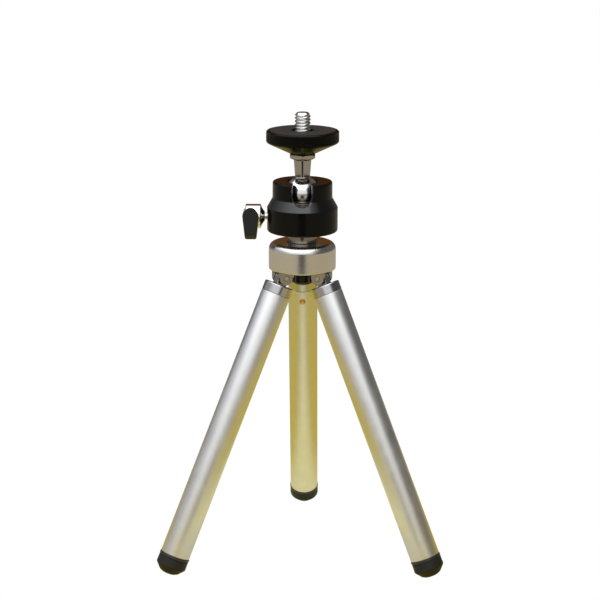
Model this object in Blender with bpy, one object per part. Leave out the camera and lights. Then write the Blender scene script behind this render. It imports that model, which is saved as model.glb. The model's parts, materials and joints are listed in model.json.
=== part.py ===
"""Tabletop tripod with a ball head: three telescoping legs hinged under a turned hub.

Metres, +Z up.  The feet stand on z = 0 and the origin is the middle of the footprint.
Sizes below are in millimetres and are multiplied by MM where they are used.
"""
import math

import bmesh
import bpy
from mathutils import Matrix, Vector

MM = 0.001
GAP = 0.3                 # clearance that touching pieces keep

# legs
LEG_COUNT = 3
SPLAY_DEG = 24.1          # angle of an open leg from the vertical
TUBE_R = 5.9
TUBE_BORE_R = 5.2
TUBE_LEN = 111.6
CAP_FACE_D = 3.2          # hinge pin to the cap's upper face, along the leg
CAP_BAND = 3.65
INNER_R = 4.3
INNER_BORE_R = 3.6
FOOT_R = 6.05
FOOT_CYL = 3.2
FOOT_DOME = 3.2
LIP_R = 6.1
LIP_H = 0.9

# hub and hinges
PIN_RADIAL = 9.0          # hinge pin from the tripod's axis
PIN_R = 1.0
TONGUE_HALF = 1.8         # half of the tongue's thickness along the pin
TONGUE_R = 2.2
LUG_T = 1.5
LUG_R = 2.9
HUB_R = 13.35
HUB_H = 10.9
HUB_FILLET = 2.8
HUB_BELOW_PIN = 2.6       # hub's lower face above the pin
NECK_R = 5.7
NECK_H = 4.3
BOLT_R = 2.0
BOLT_HEAD_R = 2.9
BOLT_HEAD_H = 5.5

# ball head
HOUSING_R = 14.0
BARREL_R = 11.8
RING_H = 9.7              # height of the wide lower ring
CONE_H = 3.8              # height of the bevel between ring and barrel
BARREL_H = 6.6
BORE_R = 8.9
BALL_R = 7.0
BALL_BELOW_TOP = 4.9      # ball centre under the housing's top
NOTCH_HALF = 3.6
STEM_R_LOW = 2.95
STEM_R_TOP = 3.5
HEX_FLAT = 4.95           # half of the hexagon's width over flats
DISC_R = 14.35
DISC_RIM = 4.8
DISC_CONE_H = 4.3
SCREW_R = 3.175           # 1/4 inch camera screw
SCREW_PITCH = 1.27
SCREW_RISE = 7.1          # screw above the disc's rim

# clamp
LOCK_DROP = 9.4           # lock screw's axis below the ball centre
KNOB_R = 4.84
LEVER_HALF_T = 2.9
LEVER_DOWN = 9.1
LEVER_UP = 3.9
LEVER_HALF_TOP = 3.3
LEVER_HALF_LOW = 2.3

# distances that follow from the sizes above
KNOB_X = -(HOUSING_R + 2.3)           # knob's face towards the housing
LEVER_X = KNOB_X - 4.15               # middle of the lever
TUBE_D = CAP_FACE_D + CAP_BAND + GAP
LIP_D = TUBE_D + TUBE_LEN + GAP
FOOT_D = LIP_D + LIP_H + GAP
COS_S = math.cos(math.radians(SPLAY_DEG))
SIN_S = math.sin(math.radians(SPLAY_DEG))
FOOT_TIP_R = 2.6
PIN_Z = (FOOT_D + FOOT_CYL + FOOT_DOME - 0.2) * COS_S + FOOT_TIP_R * SIN_S
HUB_Z = PIN_Z + HUB_BELOW_PIN
HUB_TOP = HUB_Z + HUB_H
BODY_Z = HUB_TOP + NECK_H
RING_TOP = BODY_Z + RING_H
CONE_TOP = RING_TOP + CONE_H
BODY_TOP = CONE_TOP + BARREL_H
BALL_Z = BODY_TOP - BALL_BELOW_TOP
LOCK_Z = BALL_Z - LOCK_DROP
HEX_Z = BALL_Z + 13.8
HEX_TOP = HEX_Z + 1.8
DISC_Z = HEX_TOP + GAP
RIM_Z = DISC_Z + DISC_CONE_H
DISC_TOP = RIM_Z + DISC_RIM
SCREW_TOP = DISC_TOP + SCREW_RISE

# footprint: the back foot reaches further than the two front feet
FOOT_OUT = PIN_RADIAL + (FOOT_D + FOOT_CYL) * SIN_S + FOOT_R * COS_S
FOOT_FRONT = (0.5 * (PIN_RADIAL + (FOOT_D + FOOT_CYL) * SIN_S)
              + FOOT_R * math.sqrt(1.0 - (0.5 * SIN_S) ** 2))
HEAD_Y = -(FOOT_OUT - FOOT_FRONT) / 2.0


def clear_scene():
    """Remove every object of the start-up scene."""
    for obj in list(bpy.data.objects):
        bpy.data.objects.remove(obj, do_unlink=True)


def material(name, colour, metallic, roughness):
    """A Principled material with one colour."""
    mat = bpy.data.materials.get(name)
    if mat is not None:
        return mat
    mat = bpy.data.materials.new(name)
    mat.use_nodes = True
    shader = mat.node_tree.nodes["Principled BSDF"]
    shader.inputs["Base Color"].default_value = (*colour, 1.0)
    shader.inputs["Metallic"].default_value = metallic
    shader.inputs["Roughness"].default_value = roughness
    mat.diffuse_color = (*colour, 1.0)
    return mat


def chrome():
    return material("chrome", (0.78, 0.77, 0.75), 1.0, 0.07)


def steel():
    return material("turned_steel", (0.62, 0.61, 0.58), 1.0, 0.22)


def aluminium():
    return material("satin_aluminium", (0.72, 0.72, 0.71), 1.0, 0.34)


def hub_metal():
    return material("turned_aluminium", (0.70, 0.67, 0.62), 1.0, 0.25)


def black_metal():
    return material("black_anodised", (0.018, 0.019, 0.020), 0.3, 0.28)


def black_oxide():
    return material("black_oxide", (0.03, 0.03, 0.03), 0.7, 0.4)


def rubber():
    return material("black_rubber", (0.020, 0.020, 0.019), 0.0, 0.65)


def nylon():
    return material("nylon", (0.80, 0.78, 0.72), 0.0, 0.5)


def black_nylon():
    return material("black_nylon", (0.022, 0.022, 0.022), 0.0, 0.45)


def brass():
    return material("brass", (0.72, 0.45, 0.14), 1.0, 0.25)


def new_mesh(name, bm, smooth=True):
    """Turn a bmesh into a mesh with outward faces."""
    bmesh.ops.recalc_face_normals(bm, faces=bm.faces)
    mesh = bpy.data.meshes.new(name)
    bm.to_mesh(mesh)
    bm.free()
    if smooth:
        mesh.shade_smooth()
        mesh.set_sharp_from_angle(angle=math.radians(35))
    return mesh


def turned(profile, steps, axis="Z", closed=False):
    """Spin a profile of (radius, height) pairs in millimetres about an axis."""
    bm = bmesh.new()
    verts = [bm.verts.new((r * MM, 0.0, h * MM)) for r, h in profile]
    edges = [bm.edges.new(pair) for pair in zip(verts[:-1], verts[1:])]
    if closed:
        edges.append(bm.edges.new((verts[-1], verts[0])))
    bmesh.ops.spin(bm, geom=verts + edges, cent=(0, 0, 0), axis=(0, 0, 1),
                   angle=math.tau, steps=steps, use_merge=True)
    bmesh.ops.remove_doubles(bm, verts=bm.verts, dist=1e-6)
    loose = [v for v in bm.verts if not v.link_faces]
    bmesh.ops.delete(bm, geom=loose, context="VERTS")
    if axis == "X":
        bmesh.ops.rotate(bm, verts=bm.verts, matrix=Matrix.Rotation(math.pi / 2, 3, "Y"))
    if axis == "Y":
        bmesh.ops.rotate(bm, verts=bm.verts, matrix=Matrix.Rotation(-math.pi / 2, 3, "X"))
    return bm


def prism(outline, low, high, axis="Y"):
    """Extrude a closed outline of (u, v) pairs from low to high along an axis.

    For axis Y the outline lies in X and Z, for axis X in Y and Z.
    """
    bm = bmesh.new()
    if axis == "Y":
        verts = [bm.verts.new((u * MM, low * MM, v * MM)) for u, v in outline]
        shift = (0.0, (high - low) * MM, 0.0)
    else:
        verts = [bm.verts.new((low * MM, u * MM, v * MM)) for u, v in outline]
        shift = ((high - low) * MM, 0.0, 0.0)
    face = bm.faces.new(verts)
    grown = bmesh.ops.extrude_face_region(bm, geom=[face])
    moved = [g for g in grown["geom"] if isinstance(g, bmesh.types.BMVert)]
    bmesh.ops.translate(bm, verts=moved, vec=shift)
    return bm


def merged(parts):
    """One bmesh holding several, each moved by its own matrix."""
    total = bmesh.new()
    for bm, matrix in parts:
        bm.transform(matrix)
        mesh = bpy.data.meshes.new("piece")
        bm.to_mesh(mesh)
        bm.free()
        total.from_mesh(mesh)
        bpy.data.meshes.remove(mesh)
    return total


def place(name, mesh, mat, parent, location=(0.0, 0.0, 0.0)):
    """Add an object with its origin at a point given in millimetres."""
    obj = bpy.data.objects.new(name, mesh)
    if not mesh.materials:
        mesh.materials.append(mat)
    bpy.context.scene.collection.objects.link(obj)
    obj.parent = parent
    obj.location = [c * MM for c in location]
    return obj


def cutter(name, mesh, parent, location=(0.0, 0.0, 0.0)):
    """A guide object that Boolean modifiers use."""
    obj = bpy.data.objects.new(name, mesh)
    bpy.context.scene.collection.objects.link(obj)
    obj.parent = parent
    obj.location = [c * MM for c in location]
    obj.hide_render = True
    obj.display_type = "WIRE"
    return obj


def boolean(obj, tool, operation):
    """Join or cut an object with another."""
    mod = obj.modifiers.new(operation.lower(), "BOOLEAN")
    mod.operation = operation
    mod.object = tool
    mod.solver = "EXACT"


def arc(centre_r, centre_h, radius, start_deg, end_deg, count):
    """Points on an arc; 0 degrees points outward, 90 degrees up."""
    points = []
    for i in range(count + 1):
        a = math.radians(start_deg + (end_deg - start_deg) * i / count)
        points.append((centre_r + radius * math.cos(a), centre_h + radius * math.sin(a)))
    return points


def thread_profile(root_r, crest_r, low, high, pitch):
    """Rings of a cosmetic thread between two heights."""
    points = []
    count = int((high - low) / pitch)
    for i in range(count):
        base = low + i * pitch
        points.append((root_r, base + 0.05 * pitch))
        points.append((crest_r, base + 0.50 * pitch))
    points.append((root_r, low + count * pitch))
    return points


def round_end_outline(half_width, centre_v, bottom_v, count=10):
    """A strip with a half-round upper end and a square lower end."""
    points = [(-half_width, bottom_v), (half_width, bottom_v)]
    for i in range(count + 1):
        a = math.pi * i / count
        points.append((half_width * math.cos(a), centre_v + half_width * math.sin(a)))
    return points


def build_hub(root):
    """Turned hub with three pairs of hinge lugs, bolt, nut, washer and pins."""
    profile = [(BOLT_R + GAP, HUB_Z), (HUB_R - 0.6, HUB_Z), (HUB_R, HUB_Z + 0.6)]
    profile += arc(HUB_R - HUB_FILLET, HUB_TOP - HUB_FILLET, HUB_FILLET, 0, 90, 5)
    profile += [(NECK_R + 0.35, HUB_TOP), (NECK_R + 0.35, HUB_TOP - 1.4),
                (BOLT_R + GAP, HUB_TOP - 1.4)]
    hub = place("hub", new_mesh("hub", turned(profile, 40, closed=True)), hub_metal(), root)
    lugs = []
    holes = []
    for i in range(LEG_COUNT):
        turn = leg_matrix(i)
        for side in (-1, 1):
            inner = side * (TONGUE_HALF + GAP)
            outer = inner + side * LUG_T
            outline = [(u, -v) for u, v in round_end_outline(LUG_R, 0.0, -HUB_BELOW_PIN - 1.0, 8)]
            lugs.append((prism(outline, min(inner, outer), max(inner, outer)), turn))
        hole = turned([(0, -4.4), (PIN_R + GAP, -4.4), (PIN_R + GAP, 4.4), (0, 4.4)], 12, "Y")
        holes.append((hole, turn))
    boolean(hub, cutter("hub_lugs", new_mesh("hub_lugs", merged(lugs)), root), "UNION")
    boolean(hub, cutter("hub_holes", new_mesh("hub_holes", merged(holes)), root), "DIFFERENCE")

    head_top = HUB_Z - GAP
    head_low = head_top - BOLT_HEAD_H
    bolt = [(0, head_low + 2.6), (1.5, head_low + 2.6), (1.5, head_low),
            (BOLT_HEAD_R - 0.3, head_low), (BOLT_HEAD_R, head_low + 0.3),
            (BOLT_HEAD_R, head_top),
            (BOLT_R, head_top), (BOLT_R, HUB_TOP + 6.3), (BOLT_R - 0.4, HUB_TOP + 6.7),
            (0, HUB_TOP + 6.7)]
    place("hub_bolt", new_mesh("hub_bolt", turned(bolt, 24)), black_oxide(), root)
    washer = [(BOLT_R + GAP, HUB_TOP - 1.1), (5.4, HUB_TOP - 1.1), (5.4, HUB_TOP - 0.3),
              (BOLT_R + GAP, HUB_TOP - 0.3)]
    place("pan_washer", new_mesh("pan_washer", turned(washer, 24, closed=True)), nylon(), root)
    nut_bore = (BOLT_R + GAP) / math.cos(math.pi / 6)
    nut = [(nut_bore, HUB_TOP + 4.2), (4.7, HUB_TOP + 4.2), (4.7, HUB_TOP + 6.4),
           (nut_bore, HUB_TOP + 6.4)]
    place("hub_nut", new_mesh("hub_nut", turned(nut, 6, closed=True), False), steel(), root)


def leg_matrix(index):
    """Matrix of a vertical frame at a leg's hinge pin, with Y along the pin."""
    azimuth = math.radians(90.0 + 120.0 * index)
    turn = Matrix.Rotation(azimuth, 4, "Z")
    return turn @ Matrix.Translation((PIN_RADIAL * MM, 0.0, PIN_Z * MM))


def build_leg(index, root):
    """One leg: hinge pin, cap with tongue, outer tube, inner tube and foot."""
    label = ("back", "left", "right")[index]
    azimuth = math.radians(90.0 + 120.0 * index)
    pivot = bpy.data.objects.new(f"leg_pivot_{label}", None)
    bpy.context.scene.collection.objects.link(pivot)
    pivot.parent = root
    pivot.location = (leg_matrix(index).translation)
    pivot.rotation_euler = (0.0, -math.radians(SPLAY_DEG), azimuth)

    reach = TONGUE_HALF + GAP + LUG_T + 0.15
    pin = [(0, -reach), (PIN_R - 0.15, -reach), (PIN_R, -reach + 0.15),
           (PIN_R, reach - 0.15), (PIN_R - 0.15, reach), (0, reach)]
    place(f"hinge_pin_{label}", new_mesh("hinge_pin", turned(pin, 12, "Y")), steel(), pivot)

    face = -CAP_FACE_D
    spigot_r = TUBE_BORE_R - GAP
    ring = [(0, face - 10.5), (spigot_r - 0.5, face - 10.5), (spigot_r, face - 10.0),
            (spigot_r, face - CAP_BAND), (TUBE_R, face - CAP_BAND), (TUBE_R, face - 0.4),
            (TUBE_R - 0.4, face), (0, face)]
    cap = place(f"leg_cap_{label}", new_mesh("leg_cap", turned(ring, 24)), chrome(), pivot)
    tongue = prism(round_end_outline(TONGUE_R, 0.0, face - 1.2), -TONGUE_HALF, TONGUE_HALF)
    boolean(cap, cutter(f"tongue_tool_{label}", new_mesh("tongue", tongue), pivot), "UNION")
    hole = turned([(0, -3.0), (PIN_R + GAP, -3.0), (PIN_R + GAP, 3.0), (0, 3.0)], 12, "Y")
    boolean(cap, cutter(f"pin_tool_{label}", new_mesh("pin_hole", hole), pivot), "DIFFERENCE")

    rivet_d = TUBE_D + 5.0
    bore = turned([(0, TUBE_R - 2.5), (1.1, TUBE_R - 2.5), (1.1, TUBE_R + 1.1),
                   (0, TUBE_R + 1.1)], 12)
    bmesh.ops.rotate(bore, verts=bore.verts, matrix=Matrix.Rotation(-math.pi / 2, 3, "Y"))
    tool = cutter(f"rivet_tool_{label}", new_mesh("rivet_hole", bore), pivot, (0, 0, -rivet_d))
    boolean(cap, tool, "DIFFERENCE")
    rivet = turned([(0, TUBE_R - 2.1), (0.8, TUBE_R - 2.1), (0.8, TUBE_R + GAP), (1.25, TUBE_R + GAP),
                    (1.25, TUBE_R + 0.5), (0.8, TUBE_R + 0.75), (0, TUBE_R + 0.8)], 12)
    bmesh.ops.rotate(rivet, verts=rivet.verts, matrix=Matrix.Rotation(-math.pi / 2, 3, "Y"))
    place(f"cap_rivet_{label}", new_mesh("cap_rivet", rivet), brass(), pivot, (0, 0, -rivet_d))

    top = -TUBE_D
    low = top - TUBE_LEN
    wall = [(TUBE_BORE_R, low), (TUBE_R - 0.15, low), (TUBE_R, low + 0.15), (TUBE_R, top - 0.15),
            (TUBE_R - 0.15, top), (TUBE_BORE_R, top)]
    tube = place(f"leg_outer_{label}", new_mesh("leg_outer", turned(wall, 24, closed=True)),
                 aluminium(), pivot)
    boolean(tube, tool, "DIFFERENCE")

    lip = -LIP_D
    bush_r = TUBE_BORE_R - GAP
    bush = [(INNER_R + 0.3, lip - LIP_H), (LIP_R - 0.2, lip - LIP_H), (LIP_R, lip - LIP_H + 0.2),
            (LIP_R, lip - 0.15), (LIP_R - 0.15, lip), (bush_r, lip), (bush_r, lip + 10.0),
            (INNER_R + 0.3, lip + 10.0)]
    place(f"leg_bushing_{label}", new_mesh("leg_bushing", turned(bush, 24, closed=True)),
          black_nylon(), pivot)

    foot = -FOOT_D
    inner_top = -(TUBE_D + 16.0)
    inner_low = foot - 2.0
    inner = [(INNER_BORE_R, inner_low), (INNER_R, inner_low), (INNER_R, inner_top),
             (INNER_BORE_R, inner_top)]
    place(f"leg_inner_{label}", new_mesh("leg_inner", turned(inner, 20, closed=True)),
          aluminium(), pivot)
    plug_r = INNER_BORE_R - GAP
    guide = [(0, inner_top - 8.0), (plug_r, inner_top - 8.0), (plug_r, inner_top + GAP),
             (bush_r, inner_top + GAP), (bush_r, inner_top + 4.0), (0, inner_top + 4.0)]
    place(f"inner_guide_{label}", new_mesh("inner_guide", turned(guide, 20)), nylon(), pivot)

    shoulder = foot - FOOT_CYL
    tip = shoulder - FOOT_DOME
    pad = [(0, inner_low - GAP), (INNER_R + GAP, inner_low - GAP), (INNER_R + GAP, foot),
           (FOOT_R - 0.15, foot), (FOOT_R, foot - 0.15), (FOOT_R, shoulder),
           (FOOT_R - 0.35, shoulder - 0.7), (FOOT_TIP_R + 1.4, shoulder - 2.35),
           (FOOT_TIP_R, tip + 0.2), (FOOT_TIP_R - 1.2, tip), (0, tip)]
    place(f"foot_{label}", new_mesh("foot", turned(pad, 24)), rubber(), pivot)


def build_housing(root):
    """Housing with a spherical pocket, a front notch and a bored side, on its plug."""
    ball_h = BALL_Z
    sphere_r = BALL_R + GAP
    step_h = ball_h + 1.1
    low_deg = math.degrees(math.asin(1.1 / sphere_r))
    high_deg = math.degrees(math.asin(4.5 / sphere_r))
    mouth_r = math.sqrt(sphere_r ** 2 - 4.5 ** 2) + 0.4
    profile = [(BORE_R, BODY_Z), (HOUSING_R - 0.8, BODY_Z), (HOUSING_R, BODY_Z + 0.8),
               (HOUSING_R, RING_TOP), (BARREL_R + 0.1, CONE_TOP), (BARREL_R, CONE_TOP + 0.1),
               (BARREL_R, BODY_TOP - 0.8), (BARREL_R - 0.8, BODY_TOP), (mouth_r, BODY_TOP)]
    profile += arc(0, ball_h, sphere_r, high_deg, low_deg, 5)
    profile += [(BORE_R, step_h)]
    body = place("head_housing", new_mesh("head_housing", turned(profile, 40, closed=True)),
                 black_metal(), root)
    notch = [(NOTCH_HALF, 8.0), (-NOTCH_HALF, 8.0)]
    for i in range(13):
        a = math.pi + math.pi * i / 12
        notch.append((NOTCH_HALF * math.cos(a), NOTCH_HALF * math.sin(a)))
    slot = prism(notch, -16.0, 0.0)
    boolean(body, cutter("notch_tool", new_mesh("notch", slot), root, (0, 0, BALL_Z)),
            "DIFFERENCE")
    bore = turned([(0, -HOUSING_R - 2.0), (2.2, -HOUSING_R - 2.0), (2.2, -7.5), (0, -7.5)], 20, "X")
    boolean(body, cutter("lock_tool", new_mesh("lock_bore", bore), root, (0, 0, LOCK_Z)),
            "DIFFERENCE")

    plug_r = BORE_R - GAP
    neck_low = HUB_TOP
    plug = [(BOLT_R + GAP, neck_low), (NECK_R - 0.2, neck_low), (NECK_R, neck_low + 0.2),
            (NECK_R, BODY_Z + 0.1), (plug_r, BODY_Z + 0.1), (plug_r, BODY_Z + 2.6),
            (5.0, BODY_Z + 2.6), (5.0, HUB_TOP + 3.9), (BOLT_R + GAP, HUB_TOP + 3.9)]
    place("head_plug", new_mesh("head_plug", turned(plug, 28, closed=True)), steel(), root)


def build_clamp(root):
    """Seat and cup under the ball, pushed by a cone-nosed pin and a lever screw."""
    ball = (0, 0, BALL_Z)
    cup_in = BALL_R + GAP
    cup_out = cup_in + 0.8
    cup = arc(0, 0, cup_out, -90, -33, 4) + arc(0, 0, cup_in, -33, -90, 4)
    place("friction_cup", new_mesh("friction_cup", turned(cup, 20)), nylon(), root, ball)

    seat_r = BORE_R - GAP
    pocket = cup_out + GAP
    seat_low = BODY_Z + 2.6 + GAP + 0.3
    rim_h = BALL_Z - 4.1
    rim_deg = -math.degrees(math.asin(4.1 / pocket))
    seat = [(0, seat_low), (seat_r - 0.4, seat_low), (seat_r, seat_low + 0.4), (seat_r, rim_h)]
    seat += [(r, h + BALL_Z) for r, h in arc(0, 0, pocket, rim_deg, -90, 4)]
    block = place("pressure_seat", new_mesh("pressure_seat", turned(seat, 24)), brass(), root)
    cone = turned([(0, -10.0), (1.95, -10.0), (1.95, -8.0), (1.0, -4.4), (0, -4.4)], 20, "X")
    boolean(block, cutter("cone_tool", new_mesh("cone_bore", cone), root, (0, 0, LOCK_Z)),
            "DIFFERENCE")

    lock = (0, 0, LOCK_Z)
    pin = [(0, -9.0), (1.6, -9.0), (1.6, -7.8), (0.65, -4.75), (0, -4.75)]
    place("wedge_pin", new_mesh("wedge_pin", turned(pin, 20, "X")), steel(), root, lock)
    screw = [(0, KNOB_X - 4.2), (1.35, KNOB_X - 4.2), (1.35, -13.6)]
    screw += thread_profile(1.55, 1.9, -13.5, -9.4, 0.7)
    screw += [(1.35, -9.35), (0, -9.35)]
    place("lock_screw", new_mesh("lock_screw", turned(screw, 12, "X")), steel(), root, lock)

    neck_r = 1.35 + GAP
    end = KNOB_X - 6.2
    boss = [(0, end), (KNOB_R - 0.4, end), (KNOB_R, end + 0.4), (KNOB_R, KNOB_X),
            (KNOB_R - 0.5, KNOB_X + 0.25), (3.1, KNOB_X + 0.35), (2.45, KNOB_X + 0.8),
            (2.05, KNOB_X + 1.4), (0, KNOB_X + 1.4)]
    knob = place("lock_lever", new_mesh("lock_lever", turned(boss, 28, "X")),
                 chrome(), root, lock)
    outline = lever_outline(0.0)
    arm = prism(outline, -LEVER_HALF_T - 0.05, LEVER_HALF_T + 0.05)
    grown = lever_outline(0.04)
    flats = [(prism(grown, -7.0, -LEVER_HALF_T), Matrix.Identity(4)),
             (prism(grown, LEVER_HALF_T, 7.0), Matrix.Identity(4))]
    boolean(knob, cutter("arm_tool", new_mesh("arm", arm, False), root, lock), "UNION")
    boolean(knob, cutter("flat_tool", new_mesh("flats", merged(flats), False), root, lock),
            "DIFFERENCE")
    blind = turned([(0, KNOB_X - 4.5), (neck_r, KNOB_X - 4.5), (neck_r, KNOB_X + 2.3),
                    (0, KNOB_X + 2.3)], 16, "X")
    boolean(knob, cutter("shank_tool", new_mesh("shank", blind), root, lock), "DIFFERENCE")


def lever_outline(grow):
    """Outline of the lever's flat face: an arched top that tapers to a square foot."""
    mid = LEVER_X
    half_top = LEVER_HALF_TOP + grow
    half_low = LEVER_HALF_LOW + grow
    points = [(mid - half_low, -LEVER_DOWN - grow), (mid + half_low, -LEVER_DOWN - grow),
              (mid + half_top, 0.2)]
    for i in range(1, 8):
        a = math.pi * i / 8
        rise = (LEVER_UP + grow - 0.2) * math.sin(a)
        points.append((mid + half_top * math.cos(a), 0.2 + rise))
    points.append((mid - half_top, 0.2))
    return points


def build_stud(root):
    """Ball, stem, hexagon and camera screw in one piece, with the disc that locks on it."""
    neck_deg = math.degrees(math.acos(STEM_R_LOW / BALL_R))
    profile = arc(0, 0, BALL_R, -90, neck_deg, 12)
    profile += [(STEM_R_TOP, HEX_Z - BALL_Z), (STEM_R_TOP, HEX_TOP - BALL_Z - 0.2)]
    root_r = 2.55
    low = HEX_TOP - BALL_Z
    high = SCREW_TOP - BALL_Z
    plain = DISC_TOP - 1.2 - BALL_Z
    profile += [(root_r, low - 0.2), (root_r, low + 0.4), (SCREW_R, low + 0.8), (SCREW_R, plain)]
    profile += thread_profile(root_r, SCREW_R, plain, high - 0.2, SCREW_PITCH)
    profile += [(root_r - 0.3, high), (0, high)]
    stud = place("ball_stud", new_mesh("ball_stud", turned(profile, 24)), chrome(), root,
                 (0, 0, BALL_Z))
    corner = HEX_FLAT / math.cos(math.pi / 6)
    base = HEX_Z - BALL_Z
    nut = [(0, base - 0.1), (STEM_R_TOP - 0.3, base - 0.1), (corner - 1.1, base),
           (corner, base + 0.8), (corner, base + 1.8), (0, base + 1.8)]
    hexagon = turned(nut, 6)
    bmesh.ops.rotate(hexagon, verts=hexagon.verts, matrix=Matrix.Rotation(math.pi / 6, 3, "Z"))
    boolean(stud, cutter("hex_tool", new_mesh("hexagon", hexagon, False), root,
                         (0, 0, BALL_Z)), "UNION")

    z0 = DISC_Z
    bore = SCREW_R + GAP
    disc = [(bore, z0), (5.0, z0), (DISC_R - 0.55, RIM_Z - 0.1), (DISC_R, RIM_Z + 0.4),
            (DISC_R, DISC_TOP - 0.45), (DISC_R - 0.45, DISC_TOP), (13.3, DISC_TOP),
            (13.3, DISC_TOP - 0.8), (bore, DISC_TOP - 0.8)]
    place("platform_disc", new_mesh("platform_disc", turned(disc, 40, closed=True)),
          black_metal(), root, (0, 0, 0))
    pad = [(4.9, DISC_TOP - 0.5), (13.0, DISC_TOP - 0.5), (13.0, DISC_TOP + 0.2),
           (4.9, DISC_TOP + 0.2)]
    place("platform_pad", new_mesh("platform_pad", turned(pad, 40, closed=True)),
          rubber(), root, (0, 0, 0))


def main():
    """Build the tripod."""
    clear_scene()
    root = bpy.data.objects.new("tripod_axis", None)
    bpy.context.scene.collection.objects.link(root)
    root.location = Vector((0.0, HEAD_Y * MM, 0.0))
    build_hub(root)
    for index in range(LEG_COUNT):
        build_leg(index, root)
    build_housing(root)
    build_clamp(root)
    build_stud(root)


main()
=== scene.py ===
"""Looks of a tabletop tripod with a ball head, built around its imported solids."""
import json
import logging
import math
from dataclasses import dataclass
from enum import Enum
from functools import cache

import bmesh
import bpy
import numpy as np
from mathutils import Matrix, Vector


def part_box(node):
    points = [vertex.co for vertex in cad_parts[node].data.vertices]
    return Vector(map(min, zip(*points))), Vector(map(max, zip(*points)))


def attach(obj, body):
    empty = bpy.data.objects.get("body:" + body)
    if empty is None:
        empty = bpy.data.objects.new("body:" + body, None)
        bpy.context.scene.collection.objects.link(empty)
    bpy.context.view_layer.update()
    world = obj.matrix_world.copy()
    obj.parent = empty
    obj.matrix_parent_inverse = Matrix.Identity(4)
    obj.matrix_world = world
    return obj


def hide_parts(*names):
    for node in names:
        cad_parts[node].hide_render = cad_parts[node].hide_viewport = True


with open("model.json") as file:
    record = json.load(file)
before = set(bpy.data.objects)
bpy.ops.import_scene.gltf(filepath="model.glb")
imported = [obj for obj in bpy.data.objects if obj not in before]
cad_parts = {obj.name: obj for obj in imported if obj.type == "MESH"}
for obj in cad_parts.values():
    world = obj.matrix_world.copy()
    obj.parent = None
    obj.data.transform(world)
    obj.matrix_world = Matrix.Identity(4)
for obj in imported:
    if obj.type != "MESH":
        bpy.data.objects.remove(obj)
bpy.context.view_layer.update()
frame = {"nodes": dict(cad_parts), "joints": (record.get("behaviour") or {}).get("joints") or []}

MM = 0.001
TAU = 2.0 * math.pi
LEGS = ("back", "left", "right")
LOCAL = "piece_frame"
UP = np.array([0.0, 0.0, 1.0])
GUARD_RING = 0.97      # size of the ring that keeps a plate's faces flat, over their own size

logging.basicConfig(level=logging.INFO, format="%(message)s")
log = logging.getLogger("tripod")


# ---------------------------------------------------------------- frames and meshes


@dataclass(frozen=True)
class Place:
    """A right-handed frame in the row's space: an origin and three unit columns."""

    origin: np.ndarray
    axes: np.ndarray

    def out(self, points: np.ndarray) -> np.ndarray:
        """Points of this frame, in metres, given in the row's space."""
        return points @ self.axes.T + self.origin

    def back(self, points: np.ndarray) -> np.ndarray:
        """Points of the row's space given in this frame."""
        return (points - self.origin) @ self.axes


def joint(name: str) -> dict:
    """The record's joint of that name."""
    return next(j for j in frame["joints"] if j["name"] == name)


def upright(pos: list[float]) -> Place:
    """A frame at a point, with the row's own directions."""
    return Place(np.array(pos, float), np.eye(3))


def sideways(pos: list[float]) -> Place:
    """A frame at a point whose Z runs along the row's +X.

    Args:
        pos: the frame's origin in metres.

    Returns:
        Place with columns X = row -Z, Y = row +Y, Z = row +X.
    """
    axes = np.array([[0.0, 0.0, 1.0], [0.0, 1.0, 0.0], [-1.0, 0.0, 0.0]])
    return Place(np.array(pos, float), axes)


def facing(pos: list[float]) -> Place:
    """A frame at a point whose Y runs along the row's +X and whose X faces the front."""
    axes = np.array([[0.0, 1.0, 0.0], [-1.0, 0.0, 0.0], [0.0, 0.0, 1.0]])
    return Place(np.array(pos, float), axes)


def pin_place(leg: str, lying: bool) -> Place:
    """A frame on a leg's hinge pin.

    Args:
        leg: back, left or right.
        lying: whether its Z runs along the pin; otherwise Z is up and Y is the pin.

    Returns:
        Place whose third direction points outward from the tripod.
    """
    hinge = joint(f"leg_fold_{leg}")
    pin = np.array(hinge["axis"], float)
    out = np.cross(pin, UP)
    columns = (UP, out, pin) if lying else (out, pin, UP)
    return Place(np.array(hinge["pos_m"], float), np.stack(columns, axis=1))


def leg_place(leg: str) -> Place:
    """The frame of a leg: origin on the hinge pin, Z up the leg, Y along the pin.

    Args:
        leg: back, left or right.

    Returns:
        Place whose X points outward from the tripod.
    """
    hinge, slide = joint(f"leg_fold_{leg}"), joint(f"leg_extend_{leg}")
    up = -np.array(slide["axis"], float)
    pin = np.array(hinge["axis"], float)
    out = np.cross(pin, up)
    return Place(np.array(hinge["pos_m"], float), np.stack([out, pin, up], axis=1))


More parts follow.
